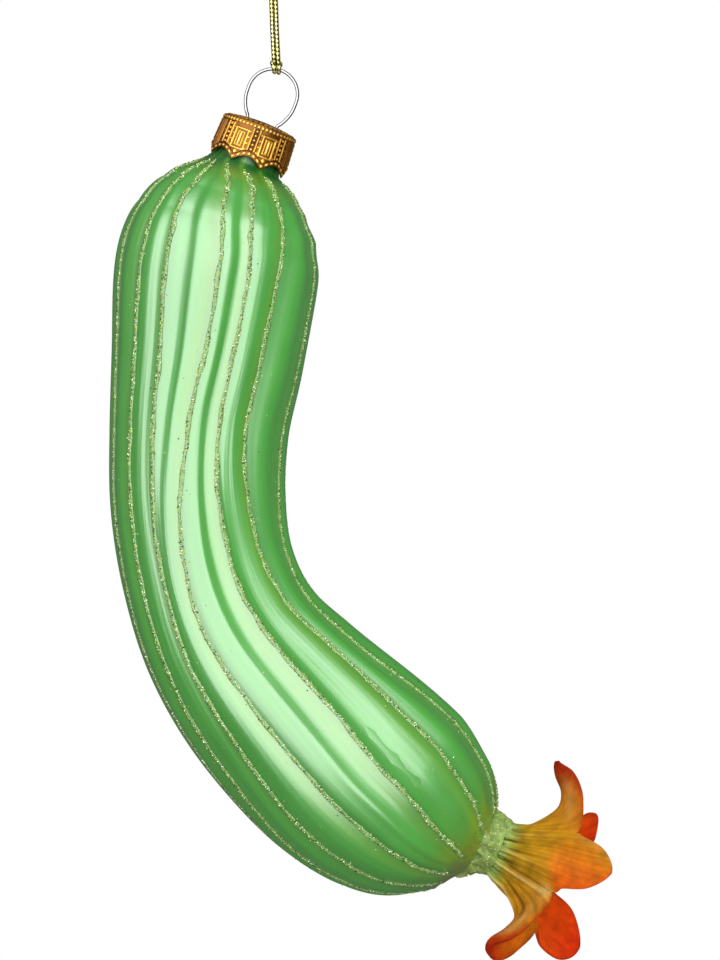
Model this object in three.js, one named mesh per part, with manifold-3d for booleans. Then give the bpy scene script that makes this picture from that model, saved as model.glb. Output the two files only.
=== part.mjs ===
// Glass zucchini ornament: a blown glass body with glitter lines, a pressed metal cap with its spring wire,
// a gold cord hitched to the wire's ring, and a moulded blossom glued to the glass.
// Millimetres, +Z up, +X to the right, +Y away from the viewer. The origin is the top of the cord's eye.
import * as THREE from "three";
import { mergeVertices } from "three/addons/utils/BufferGeometryUtils.js";
import Module from "manifold-3d";

// Neck of the glass: a straight tube that leans to the right
const neckX = -2.35;
const neckZ = -28.4;
const neckLean = 20.5;
const neckRadius = 6.0;
const neckLength = 5.45;

// Glass body below the neck: centre x, centre z and radius at each station
const bodyStations = [
  [-5.0, -35.4, 7.1], [-5.8, -37.9, 10.7], [-6.6, -40.4, 13.2], [-7.9, -44.9, 16.2],
  [-9.7, -53.0, 18.1], [-11.4, -68.8, 17.1], [-12.9, -81.9, 15.9], [-13.1, -95.0, 15.5],
  [-11.2, -107.4, 15.4], [-6.6, -119.0, 16.4], [1.3, -129.4, 18.1], [13.2, -140.9, 19.3],
  [23.0, -147.9, 18.2], [29.8, -152.5, 14.8], [33.5, -155.2, 10.8], [35.1, -156.4, 7.7],
];

// Sealed end of the glass: distance past the last station, offset of the centre, and radius
const sealedEnd = [
  [0.6, 0.6, 6.7], [1.5, 1.2, 5.6], [2.1, 2.0, 4.4], [2.8, 2.5, 3.4], [3.8, 2.8, 3.0], [4.8, 3.0, 2.0],
];
const glassWall = 1.0;
const ribHeight = 0.5;
const columnsPerRib = 4;
const rowsPerStation = 2;
const liningSides = 24;

// Glitter lines: angle round the body, 0 facing the viewer, at the stations named in glitterStations.
// The seven that show have the angles of the real ones, and the hidden ones fan out between the outer two.
const glitterStations = [2, 3, 5, 6, 8, 10, 12, 13.5, 15, 17];
const glitterAngles = [
  [-77, -76, -75, -74, -76, -78, -82, -90, -98, -104],
  [-56, -54, -51, -49, -51, -52, -60, -73, -79, -83],
  [-46, -37, -34, -30, -31, -32, -38, -50, -57, -61],
  [-26, -12, -3, 2, -7, -15, -15, -23, -33, -42],
  [0, 12, 16, 19, 13, 17, 19, 9, -2, -13],
  [31, 37, 40, 38, 32, 41, 47, 42, 34, 27],
  [74, 74, 74, 76, 70, 69, 66, 71, 68, 59],
];
const hiddenLines = 7;
const hiddenSway = 3;
const glitterStart = 2.5;
const glitterEnd = 16.5;
const glitterWidth = 0.8;
const glitterHeight = 0.3;
const glitterGap = 0.2;

// Cap: a pressed cup with a domed top and a skirt cut into arcs that meet in points
const capSheet = 0.3;
const capSeatGap = 0.3;
const capClearance = 0.5;
const capFlare = 0.45;
const capSkirt = 7.3;
const capDome = 0.9;
const tabCount = 8;
const tabDepth = 1.4;
const capSides = 64;
const capDomeRows = 3;
const capSkirtRows = 3;
const drillLength = 4;
const drillSides = 16;

// Hanger: one spring wire, a ring above the cap and two bowed legs inside the neck.
// Each route point is the wire's distance from the middle line and its height over the cap's edge.
const wireRadius = 0.3;
const wireClearance = 0.3;
const ringRadius = 4.45;
const ringHeight = 6.15;
const ringStep = 22.5;
const legAway = 2.8;
const legRoute = [
  [2.9, -17], [4.0, -14.3], [4.2, -11.6], [3.4, -7.8], [legAway, -5.4], [legAway, -2.7], [legAway, 0],
  [legAway, 1.0], [3.34, 1.77], [4.0, 3.06], [4.38, 4.45],
];
const wireSides = 8;
const wireSteps = 56;

// Cord: two strands from the knot, round the eye for a hook, down to a hitch on the ring.
// Each route point is the strand's distance from the cord's middle line, and its height.
const strandRadius = 0.35;
const strandSides = 8;
const strandSteps = 22;
const cordLean = 2.1;
const strandRoute = [
  [0.45, 0.3], [0.75, -0.3], [1.35, -1.2], [1.6, -2.2], [1.25, -3.3], [0.7, -4.2], [0.42, -5.2],
  [0.4, -6.6], [0.4, -9.0], [0.4, -11.5], [0.4, -14.0], [0.4, -16.4],
];
const knotRadius = 1.5;
const knotDepth = 1.3;
const knotHeight = 1.4;
const knotGap = 0.3;
const tailStart = 0.8;
const tailLength = 4;
const tailSpread = 14;
const hitchAngle = 9;
const hitchLength = 1.7;
const hitchThickness = 0.3;
const hitchRound = 0.15;
const hitchSides = 16;
const hitchClearance = 0.2;

// Blossom: a thin corolla, a tube that opens into five petals.
// Its own frame starts at the mouth's centre, runs along the tube, and has angle 0 facing the viewer.
const blossomAlong = 15.15;
const blossomOffset = 5.8;
const blossomDip = 22.7;
const blossomWall = 0.5;
const cleftRadius = 10;
const cleftAngles = [-162, -90, -18, 54, 126];
const tubeProfile = [[-12.5, 4.7], [-11.4, 4.75], [-10.4, 5.3], [-9.2, 5.7], [-7.4, 6.7]];

// Petals, one between each cleft and the next: angle round the tube, spine as distance past the mouth and
// radius, then the half width and the depth of the trough at the spine's points after the root
const lowerBackPetal = {
  angle: -126,
  spine: [[-2.5, 10.2], [1.0, 11.8], [5.2, 13.2], [9.0, 13.9]],
  half: [7.6, 7.0, 4.0],
  cup: [1.6, 1.2, 0.4],
};
const lowerFrontPetal = {
  angle: -60,
  spine: [[-4.2, 10.6], [-5.0, 14.3], [-6.5, 17.4], [-6.7, 19.6]],
  half: [5.4, 4.4, 1.8],
  cup: [3.4, 2.6, 1.4],
};
const frontPetal = {
  angle: 18,
  spine: [[-3.0, 10.0], [1.0, 11.4], [5.0, 12.8], [8.3, 14.0]],
  half: [5.2, 4.0, 1.6],
  cup: [1.4, 0.9, 0.3],
};
const topPetal = {
  angle: 90,
  spine: [[-4.6, 10.6], [-4.9, 13.6], [-6.6, 16.0], [-8.0, 18.4]],
  half: [5.6, 4.2, 1.2],
  cup: [3.8, 2.9, 0.7],
};
const upperBackPetal = {
  angle: 150,
  spine: [[-3.0, 10.6], [-0.5, 12.6], [2.0, 14.6], [4.0, 16.0]],
  half: [6.6, 6.2, 3.4],
  cup: [1.6, 1.2, 0.4],
};
const petals = [lowerBackPetal, lowerFrontPetal, frontPetal, topPetal, upperBackPetal];
const tipRound = 0.8;
const columnsPerPetal = 6;
const rowsPerPoint = 2;
const mouthRow = tubeProfile.length * rowsPerPoint;

// Glue collar round the blossom's base: radius and distance from the mouth, and how far it slants.
// A drop that ran down has two ends: distance from the mouth, height across the tube and radius.
const collarProfile = [
  [5.05, -15.6], [5.8, -15.4], [6.3, -14.7], [6.5, -13.9], [6.2, -13.0], [5.6, -12.3], [5.05, -12.0],
];
const collarSlant = 0.1;
const collarSides = 24;
const collarGap = 0.25;
const glueDrop = [[-16.0, -7.15, 0.95], [-14.9, -5.9, 0.75]];
const dropSides = 10;

const stationSpan = 0.01;
const lineCount = glitterAngles.length + hiddenLines;
const wasm = await Module();
wasm.setup();

const degrees = THREE.MathUtils.degToRad;
const model = new THREE.Group();

function add(name, geometry, color, roughness, metalness, parent = model) {
  const material = new THREE.MeshStandardMaterial({ color, roughness, metalness });
  const mesh = new THREE.Mesh(geometry, material);
  mesh.name = name;
  parent.add(mesh);
  return mesh;
}

function positionOnly(geometry) {
  geometry.deleteAttribute("normal");
  geometry.deleteAttribute("uv");
  return mergeVertices(geometry, 1e-4);
}

// Turn a closed mesh's faces outwards if they point in
function outward(geometry) {
  const corners = geometry.attributes.position;
  const index = geometry.index.array;
  const [a, b, c] = [new THREE.Vector3(), new THREE.Vector3(), new THREE.Vector3()];
  let volume = 0;
  for (let i = 0; i < index.length; i += 3) {
    a.fromBufferAttribute(corners, index[i]);
    b.fromBufferAttribute(corners, index[i + 1]);
    c.fromBufferAttribute(corners, index[i + 2]);
    volume += a.dot(b.cross(c));
  }
  if (volume < 0) {
    for (let i = 0; i < index.length; i += 3) {
      [index[i + 1], index[i + 2]] = [index[i + 2], index[i + 1]];
    }
  }
  return geometry;
}

function geometryFrom(points, triangles) {
  const geometry = new THREE.BufferGeometry();
  geometry.setAttribute("position", new THREE.Float32BufferAttribute(points.flatMap((p) => p.toArray()), 3));
  geometry.setIndex(triangles);
  return geometry;
}

// Skin a row of rings that have the same number of points, and close both ends
function loft(rings) {
  const sides = rings[0].length;
  const points = rings.flat();
  const triangles = [];
  for (let row = 0; row + 1 < rings.length; row += 1) {
    for (let side = 0; side < sides; side += 1) {
      const next = (side + 1) % sides;
      const [a, b] = [row * sides + side, row * sides + next];
      triangles.push(a, b, a + sides, b, b + sides, a + sides);
    }
  }
  for (const row of [0, rings.length - 1]) {
    const middle = points.length;
    points.push(rings[row].reduce((sum, p) => sum.add(p), new THREE.Vector3()).divideScalar(sides));
    for (let side = 0; side < sides; side += 1) {
      const [a, b] = [row * sides + side, row * sides + ((side + 1) % sides)];
      triangles.push(...(row === 0 ? [middle, b, a] : [middle, a, b]));
    }
  }
  return outward(geometryFrom(points, triangles));
}

function solidOf(geometry) {
  const merged = positionOnly(geometry.clone());
  return new wasm.Manifold(new wasm.Mesh({
    numProp: 3,
    vertProperties: new Float32Array(merged.attributes.position.array),
    triVerts: new Uint32Array(merged.index.array),
  }));
}

function geometryOf(solid) {
  const mesh = solid.getMesh();
  const geometry = new THREE.BufferGeometry();
  geometry.setAttribute("position", new THREE.BufferAttribute(new Float32Array(mesh.vertProperties), 3));
  geometry.setIndex([...mesh.triVerts]);
  return geometry;
}

// A round tube along a curve
function tube(curve, radius, sides, steps) {
  const section = new THREE.Shape();
  for (let side = 0; side <= sides; side += 1) {
    const angle = (side % sides) * 2 * Math.PI / sides;
    const [x, y] = [radius * Math.cos(angle), radius * Math.sin(angle)];
    if (side === 0) section.moveTo(x, y);
    else section.lineTo(x, y);
  }
  return positionOnly(new THREE.ExtrudeGeometry(section, { steps, extrudePath: curve, bevelEnabled: false }));
}

// Smooth value at x through the points (xs, ys)
function smoothValue(xs, ys, x) {
  const last = xs.length - 1;
  let i = 0;
  while (i < last - 1 && x > xs[i + 1]) i += 1;
  const slope = (k) => {
    const [low, high] = [Math.max(k - 1, 0), Math.min(k + 1, last)];
    return (ys[high] - ys[low]) / (xs[high] - xs[low]);
  };
  const step = xs[i + 1] - xs[i];
  const t = THREE.MathUtils.clamp((x - xs[i]) / step, 0, 1);
  const [t2, t3] = [t * t, t * t * t];
  return (2 * t3 - 3 * t2 + 1) * ys[i] + (t3 - 2 * t2 + t) * step * slope(i)
    + (3 * t2 - 2 * t3) * ys[i + 1] + (t3 - t2) * step * slope(i + 1);
}

// The neck's axis, and the frame that the cap and the hanger share
const neckAxis = new THREE.Vector3(Math.sin(degrees(neckLean)), 0, Math.cos(degrees(neckLean)));
const neckRim = new THREE.Vector3(neckX, 0, neckZ);
const neckFoot = neckRim.clone().addScaledVector(neckAxis, -neckLength);
const capTop = neckRim.clone().addScaledVector(neckAxis, capSeatGap + capSheet);
const capFrame = new THREE.Group();
capFrame.position.copy(capTop);
capFrame.rotation.y = degrees(neckLean);
model.add(capFrame);

const stations = [
  [neckRim.x, neckRim.z, neckRadius],
  [neckFoot.x, neckFoot.z, neckRadius],
  ...bodyStations,
];
const lastStation = stations.length - 1;
const stationCurve = new THREE.CatmullRomCurve3(
  stations.map(([x, z, radius]) => new THREE.Vector3(x, z, radius)), false, "catmullrom", 0.5,
);

// Centre, direction, side and radius of the glass at a station, whole or between two
function sectionAt(station) {
  const at = (s) => stationCurve.getPoint(THREE.MathUtils.clamp(s / lastStation, 0, 1));
  const middle = at(station);
  const [before, after] = [at(station - stationSpan), at(station + stationSpan)];
  const along = new THREE.Vector3(after.x - before.x, 0, after.y - before.y).normalize();
  const side = new THREE.Vector3(-along.z, 0, along.x);
  return { centre: new THREE.Vector3(middle.x, 0, middle.y), along, side, radius: middle.z };
}

function roundPoint(section, angle, radius) {
  const turn = degrees(angle);
  return section.centre.clone()
    .addScaledVector(section.side, radius * Math.sin(turn))
    .add(new THREE.Vector3(0, -radius * Math.cos(turn), 0));
}

function lineAngle(line, station) {
  const angleOf = (k) => smoothValue(glitterStations, glitterAngles[k], station);
  const shown = glitterAngles.length;
  if (line < shown) return angleOf(line);
  if (line === lineCount) return angleOf(0) + 360;
  const share = (line - shown + 1) / (hiddenLines + 1);
  const sway = hiddenSway * Math.sin(station * 0.9 + line * 2.1);
  return THREE.MathUtils.lerp(angleOf(shown - 1), angleOf(0) + 360, share) + sway;
}

// The ribs fade out towards the neck and the blossom
function ribFade(station) {
  const rise = THREE.MathUtils.smoothstep(station, 2, 5);
  return rise * (1 - THREE.MathUtils.smoothstep(station, 15, lastStation));
}

function glassRing(section, station) {
  const ring = [];
  for (let line = 0; line < lineCount; line += 1) {
    for (let column = 0; column < columnsPerRib; column += 1) {
      const share = column / columnsPerRib;
      const angle = THREE.MathUtils.lerp(lineAngle(line, station), lineAngle(line + 1, station), share);
      const swell = 0.5 - Math.cos(Math.PI * share) ** 2;
      ring.push(roundPoint(section, angle, section.radius + ribHeight * swell * ribFade(station)));
    }
  }
  return ring;
}

const endSection = sectionAt(lastStation);

function sealedSections() {
  return sealedEnd.map(([along, offset, radius]) => ({
    ...endSection,
    radius,
    centre: endSection.centre.clone()
      .addScaledVector(endSection.along, along)
      .addScaledVector(endSection.side, offset),
  }));
}

function glassBody() {
  const rows = Array.from({ length: lastStation * rowsPerStation + 1 }, (_, row) => row / rowsPerStation);
  const outer = rows.map((station) => glassRing(sectionAt(station), station));
  for (const section of sealedSections()) outer.push(glassRing(section, lastStation));
  const angles = Array.from({ length: liningSides }, (_, side) => side * 360 / liningSides);
  const liningRing = (section) => angles.map((angle) => roundPoint(section, angle, section.radius - glassWall));
  const lining = stations.map((_, station) => liningRing(sectionAt(station)));
  lining.unshift(lining[0].map((p) => p.clone().addScaledVector(neckAxis, glassWall)));
  lining.push(liningRing(sealedSections()[0]));
  return geometryOf(solidOf(loft(outer)).subtract(solidOf(loft(lining))));
}

// One glitter line: a flat bead of glue and grains along a groove between two ribs
function glitterLine(line) {
  const rings = [];
  for (let station = glitterStart; station <= glitterEnd; station += 1 / rowsPerStation) {
    const groovePoint = (s) => {
      const section = sectionAt(s);
      return roundPoint(section, lineAngle(line, s), section.radius - ribHeight / 2 * ribFade(s));
    };
    const middle = groovePoint(station);
    const along = groovePoint(station + stationSpan).sub(groovePoint(station - stationSpan)).normalize();
    const turn = degrees(lineAngle(line, station));
    const radial = sectionAt(station).side.clone().multiplyScalar(Math.sin(turn));
    radial.y = -Math.cos(turn);
    const across = new THREE.Vector3().crossVectors(along, radial).normalize();
    const up = new THREE.Vector3().crossVectors(across, along).normalize();
    const corners = [[-0.5, 0], [0.5, 0], [0, 1]];
    rings.push(corners.map(([w, h]) => middle.clone()
      .addScaledVector(across, w * glitterWidth)
      .addScaledVector(up, glitterGap + h * glitterHeight)));
  }
  return loft(rings);
}

// Cap, in its own frame: the top's edge is at height 0 and the skirt hangs below
const capTopRadius = neckRadius + capClearance + capSheet;

function capShell() {
  const outer = [];
  for (let row = 0; row <= capDomeRows; row += 1) {
    const share = row / capDomeRows;
    outer.push(new THREE.Vector2(capTopRadius * share, capDome * (1 - share * share)));
  }
  for (let row = 1; row <= capSkirtRows; row += 1) {
    const share = row / capSkirtRows;
    outer.push(new THREE.Vector2(capTopRadius + capFlare * share, -capSkirt * share));
  }
  const inner = outer.map((p, i) => (i <= capDomeRows
    ? new THREE.Vector2(p.x * (capTopRadius - capSheet) / capTopRadius, p.y - capSheet)
    : new THREE.Vector2(p.x - capSheet, p.y))).reverse();
  const shell = positionOnly(new THREE.LatheGeometry([...outer, ...inner], capSides));
  shell.rotateX(Math.PI / 2);
  const corners = shell.attributes.position;
  for (let i = 0; i < corners.count; i += 1) {
    const height = corners.getZ(i);
    if (height > -capSheet - 0.01) continue;
    const angle = Math.atan2(corners.getX(i), -corners.getY(i)) + Math.PI / tabCount;
    const arc = Math.abs(Math.sin(angle * tabCount / 2));
    corners.setZ(i, height * (1 - tabDepth / capSkirt * arc));
  }
  return outward(shell);
}

function metalCap() {
  let cap = solidOf(capShell());
  const holeRadius = wireRadius + wireClearance;
  const drill = new THREE.CylinderGeometry(holeRadius, holeRadius, drillLength, drillSides);
  drill.rotateX(Math.PI / 2);
  for (const side of [-1, 1]) {
    const hole = drill.clone().translate(side * legAway, 0, 0);
    cap = cap.subtract(solidOf(hole));
  }
  return geometryOf(cap);
}

// Hanger, in the cap's frame: half of the wire from a leg's end up to the ring, then mirrored
function hangerWire() {
  const left = legRoute.map(([x, z]) => new THREE.Vector3(-x, 0, z));
  const right = legRoute.map(([x, z]) => new THREE.Vector3(x, 0, z)).reverse();
  const arc = [];
  for (let angle = -90; angle <= 90; angle += ringStep) {
    const turn = degrees(angle);
    arc.push(new THREE.Vector3(ringRadius * Math.sin(turn), 0, ringHeight + ringRadius * Math.cos(turn)));
  }
  const route = new THREE.CatmullRomCurve3([...left, ...arc, ...right], false, "centripetal");
  return tube(route, wireRadius, wireSides, wireSteps);
}

// Cord strands lean a little, from the origin down to the hitch
function strand(side) {
  const lean = Math.tan(degrees(cordLean));
  const points = strandRoute.map(([away, z]) => new THREE.Vector3(side * away - lean * z, 0, z));
  return tube(new THREE.CatmullRomCurve3(points, false, "centripetal"), strandRadius, strandSides, strandSteps);
}

function cordKnot() {
  const top = strandRoute[0][1] + knotGap;
  const ball = new THREE.SphereGeometry(1, 16, 10);
  ball.scale(knotRadius, knotDepth, knotHeight);
  ball.translate(0, 0, top + knotHeight);
  let knot = solidOf(ball);
  for (const side of [-1, 1]) {
    const tail = new THREE.CylinderGeometry(strandRadius, strandRadius, tailLength, strandSides);
    tail.rotateX(Math.PI / 2);
    tail.translate(0, 0, tailLength / 2);
    tail.rotateY(side * degrees(tailSpread));
    tail.translate(side * strandRadius, 0, top + knotHeight + tailStart);
    knot = knot.add(solidOf(tail));
  }
  return geometryOf(knot);
}

const ringCentre = capTop.clone().addScaledVector(neckAxis, ringHeight);

function cordHitch() {
  const inner = wireRadius + hitchClearance;
  const outer = inner + hitchThickness;
  const half = hitchLength / 2;
  const profile = [
    [inner, -half], [outer - hitchRound, -half], [outer, hitchRound - half],
    [outer, half - hitchRound], [outer - hitchRound, half], [inner, half], [inner, -half],
  ];
  const band = positionOnly(new THREE.LatheGeometry(profile.map((p) => new THREE.Vector2(...p)), hitchSides));
  band.rotateZ(Math.PI / 2);
  band.rotateY(degrees(hitchAngle));
  const turn = degrees(hitchAngle);
  band.translate(ringCentre.x + ringRadius * Math.sin(turn), 0, ringCentre.z + ringRadius * Math.cos(turn));
  return outward(band);
}

// Blossom frame: x along the tube, y away from the viewer, z up across the tube
const blossomFrame = new THREE.Group();
blossomFrame.position.copy(endSection.centre)
  .addScaledVector(endSection.along, blossomAlong)
  .addScaledVector(endSection.side, blossomOffset);
blossomFrame.rotation.y = degrees(blossomDip);
model.add(blossomFrame);

function flowerPoint(along, radius, angle, aside = 0) {
  const turn = degrees(angle);
  return new THREE.Vector3(
    along,
    -radius * Math.cos(turn) + aside * Math.sin(turn),
    radius * Math.sin(turn) + aside * Math.cos(turn),
  );
}

// The line of one column of the corolla, from the tube's base to the petal's edge.
// Across runs from -1 at the cleft before the petal to 1 at the cleft after it.
function petalColumn(petal, before, after, across) {
  const turn = THREE.MathUtils.lerp(before, after, (across + 1) / 2);
  const points = tubeProfile.map(([along, radius]) => flowerPoint(along, radius, turn));
  const root = flowerPoint(...petal.spine[0], petal.angle);
  const low = flowerPoint(0, cleftRadius, before);
  const high = flowerPoint(0, cleftRadius, after);
  points.push(root.clone()
    .addScaledVector(high.clone().sub(low), across / 2)
    .addScaledVector(high.clone().add(low).multiplyScalar(0.5).sub(root), across * across));
  for (let k = 1; k < petal.spine.length; k += 1) {
    const [along, radius] = petal.spine[k];
    const step = new THREE.Vector2(along - petal.spine[k - 1][0], radius - petal.spine[k - 1][1]).normalize();
    const cup = petal.cup[k - 1] * across * across;
    const short = k === petal.spine.length - 1 ? tipRound * across * across : 0;
    points.push(flowerPoint(
      along + step.y * cup - step.x * short, radius - step.x * cup - step.y * short,
      petal.angle, petal.half[k - 1] * across,
    ));
  }
  return new THREE.CatmullRomCurve3(points, false, "catmullrom", 0.5).getPoints((points.length - 1) * rowsPerPoint);
}

// Outer face of each petal as columns of points, from one cleft to the next.
// Up to the mouth, the column at a cleft is the same for both petals.
function corollaGrids() {
  const grids = petals.map((petal, k) => {
    const before = cleftAngles[k];
    const after = k + 1 < cleftAngles.length ? cleftAngles[k + 1] : cleftAngles[0] + 360;
    return Array.from({ length: columnsPerPetal + 1 },
      (_, column) => petalColumn(petal, before, after, column * 2 / columnsPerPetal - 1));
  });
  grids.forEach((grid, k) => {
    const next = grids[(k + 1) % grids.length];
    for (let row = 0; row <= mouthRow; row += 1) {
      next[0][row].lerp(grid[columnsPerPetal][row], 0.5);
      grid[columnsPerPetal][row].copy(next[0][row]);
    }
  });
  return grids;
}

function gridNormals(grid) {
  const [columns, rows] = [grid.length, grid[0].length];
  return grid.map((points, column) => points.map((_, row) => {
    const across = grid[Math.min(column + 1, columns - 1)][row].clone().sub(grid[Math.max(column - 1, 0)][row]);
    const along = points[Math.min(row + 1, rows - 1)].clone().sub(points[Math.max(row - 1, 0)]);
    return along.cross(across).normalize();
  }));
}

// The corolla is one sheet: the petals share the tube's columns up to the mouth and part above it
function corolla() {
  const grids = corollaGrids();
  const normals = grids.map(gridNormals);
  const lastRow = grids[0][0].length - 1;
  for (let k = 0; k < petals.length; k += 1) {
    const next = (k + 1) % petals.length;
    for (let row = 0; row <= mouthRow; row += 1) {
      const shared = normals[k][columnsPerPetal][row].add(normals[next][0][row]).normalize();
      normals[next][0][row].copy(shared);
    }
  }
  const corners = [];
  const quad = (a, b, c, d) => corners.push(a, b, c, a, c, d);
  grids.forEach((grid, k) => {
    const inside = grid.map((points, column) => points.map(
      (p, row) => p.clone().addScaledVector(normals[k][column][row], -blossomWall),
    ));
    for (let column = 0; column < columnsPerPetal; column += 1) {
      const [a, b, c, d] = [grid[column], grid[column + 1], inside[column], inside[column + 1]];
      for (let row = 0; row < lastRow; row += 1) {
        quad(a[row], b[row], b[row + 1], a[row + 1]);
        quad(d[row], c[row], c[row + 1], d[row + 1]);
      }
      quad(b[0], a[0], c[0], d[0]);
      quad(a[lastRow], b[lastRow], d[lastRow], c[lastRow]);
    }
    for (let row = mouthRow; row < lastRow; row += 1) {
      const [outer, inner] = [grid[0], inside[0]];
      quad(outer[row], outer[row + 1], inner[row + 1], inner[row]);
      const [farOuter, farInner] = [grid[columnsPerPetal], inside[columnsPerPetal]];
      quad(farOuter[row + 1], farOuter[row], farInner[row], farInner[row + 1]);
    }
  });
  const sheet = new THREE.BufferGeometry();
  sheet.setAttribute("position", new THREE.Float32BufferAttribute(corners.flatMap((p) => p.toArray()), 3));
  return outward(mergeVertices(sheet, 1e-4));
}

// The glass's end grown by a gap, in the blossom's frame, so that the glue lies on the glass
function grownGlassEnd() {
  const sections = [sectionAt(lastStation - 2), sectionAt(lastStation - 1), endSection, ...sealedSections()];
  const tip = { ...sections[sections.length - 1] };
  tip.centre = tip.centre.clone().addScaledVector(tip.along, collarGap);
  const angles = Array.from({ length: liningSides }, (_, side) => side * 360 / liningSides);
  const rings = [...sections, tip].map((section) => angles.map(
    (angle) => roundPoint(section, angle, section.radius + collarGap),
  ));
  blossomFrame.updateMatrix();
  return solidOf(loft(rings).applyMatrix4(blossomFrame.matrix.clone().invert()));
}

function glueCollar() {
  const profile = collarProfile.map(([radius, along]) => new THREE.Vector2(radius, along));
  const ring = positionOnly(new THREE.LatheGeometry([...profile, profile[0]], collarSides));
  ring.rotateZ(-Math.PI / 2);
  const corners = ring.attributes.position;
  for (let i = 0; i < corners.count; i += 1) {
    corners.setX(i, corners.getX(i) + collarSlant * corners.getZ(i));
  }
  const dropEnds = glueDrop.map(([along, height, radius]) => solidOf(
    new THREE.SphereGeometry(radius, dropSides, dropSides / 2).translate(along, 0, height),
  ));
  return geometryOf(solidOf(outward(ring)).add(wasm.Manifold.hull(dropEnds)).subtract(grownGlassEnd()));
}

add("glass_body", glassBody(), 0x4f9f50, 0.25, 0.6);
for (let line = 0; line < lineCount; line += 1) {
  add(`glitter_line_${String(line + 1).padStart(2, "0")}`, glitterLine(line), 0xc9cb84, 0.5, 0.4);
}
add("metal_cap", metalCap(), 0xc98a2e, 0.3, 0.9, capFrame);
add("hanger_wire", hangerWire(), 0xd8dadc, 0.2, 1.0, capFrame);
add("cord_strand_left", strand(-1), 0xb9a63a, 0.45, 0.5);
add("cord_strand_right", strand(1), 0xb9a63a, 0.45, 0.5);
add("cord_knot", cordKnot(), 0xb9a63a, 0.45, 0.5);
add("cord_hitch", cordHitch(), 0xb9a63a, 0.45, 0.5);
add("blossom_glue_collar", glueCollar(), 0x9fce8c, 0.3, 0.0, blossomFrame);
add("blossom", corolla(), 0xd9731f, 0.4, 0.0, blossomFrame);

export default model;
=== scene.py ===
# Looks of the glass zucchini ornament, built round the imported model.
# The tables hold millimetres and degrees, as the part's own source does; meshes are made in metres.
import math

import bpy
import numpy as np
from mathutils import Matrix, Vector


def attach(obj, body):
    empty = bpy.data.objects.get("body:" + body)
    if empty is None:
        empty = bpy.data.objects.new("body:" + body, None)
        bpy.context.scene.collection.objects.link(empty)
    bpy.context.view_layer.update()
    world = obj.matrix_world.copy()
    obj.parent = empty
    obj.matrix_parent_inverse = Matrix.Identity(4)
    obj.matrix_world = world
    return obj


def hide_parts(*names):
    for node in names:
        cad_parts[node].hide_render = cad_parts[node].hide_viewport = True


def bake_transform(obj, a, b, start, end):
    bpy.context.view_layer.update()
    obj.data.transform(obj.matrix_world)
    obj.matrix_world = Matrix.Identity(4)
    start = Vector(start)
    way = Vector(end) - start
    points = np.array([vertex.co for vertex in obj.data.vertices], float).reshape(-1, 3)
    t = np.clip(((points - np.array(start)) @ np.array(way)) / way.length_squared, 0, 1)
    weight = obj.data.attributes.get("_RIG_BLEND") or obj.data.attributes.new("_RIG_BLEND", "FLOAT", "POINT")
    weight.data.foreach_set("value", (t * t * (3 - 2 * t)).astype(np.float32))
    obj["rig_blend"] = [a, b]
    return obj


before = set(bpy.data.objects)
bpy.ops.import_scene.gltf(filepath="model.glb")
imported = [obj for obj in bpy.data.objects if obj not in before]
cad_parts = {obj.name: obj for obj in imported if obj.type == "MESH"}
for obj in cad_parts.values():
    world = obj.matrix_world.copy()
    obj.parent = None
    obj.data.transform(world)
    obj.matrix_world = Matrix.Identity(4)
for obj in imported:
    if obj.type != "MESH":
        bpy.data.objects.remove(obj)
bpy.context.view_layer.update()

MM = 0.001

# Camera: a long lens straight in front, with the photograph's middle and height in millimetres
view_middle = (15.575, -90.78)
view_height = 170.88
camera_lens = 400.0
sensor_side = 36.0

# Glass neck and body: the same stations as the part's source
neck_x, neck_z, neck_lean, neck_radius, neck_length = -2.35, -28.4, 20.5, 6.0, 5.45
body_stations = [
    (-5.0, -35.4, 7.1), (-5.8, -37.9, 10.7), (-6.6, -40.4, 13.2), (-7.9, -44.9, 16.2),
    (-9.7, -53.0, 18.1), (-11.4, -68.8, 17.1), (-12.9, -81.9, 15.9), (-13.1, -95.0, 15.5),
    (-11.2, -107.4, 15.4), (-6.6, -119.0, 16.4), (1.3, -129.4, 18.1), (13.2, -140.9, 19.3),
    (23.0, -147.9, 18.2), (29.8, -152.5, 14.8), (33.5, -155.2, 10.8), (35.1, -156.4, 7.7),
]
sealed_end = [(0.6, 0.6, 6.7), (1.5, 1.2, 5.6), (2.1, 2.0, 4.4), (2.8, 2.5, 3.4), (3.8, 2.8, 3.0), (4.8, 3.0, 2.0)]
glass_wall = 1.0
rib_height = 0.5
glitter_stations = [2, 3, 5, 6, 8, 10, 12, 13.5, 15, 17]
glitter_angles = [
    [-77, -76, -75, -74, -76, -78, -82, -90, -98, -104],
    [-56, -54, -51, -49, -51, -52, -60, -73, -79, -83],
    [-46, -37, -34, -30, -31, -32, -38, -50, -57, -61],
    [-26, -12, -3, 2, -7, -15, -15, -23, -33, -42],
    [0, 12, 16, 19, 13, 17, 19, 9, -2, -13],
    [31, 37, 40, 38, 32, 41, 47, 42, 34, 27],
    [74, 74, 74, 76, 70, 69, 66, 71, 68, 59],
]
hidden_lines = 7
line_count = len(glitter_angles) + hidden_lines
hidden_sway = 3.0
columns_per_rib = 20
rows_per_station = 12

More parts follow.
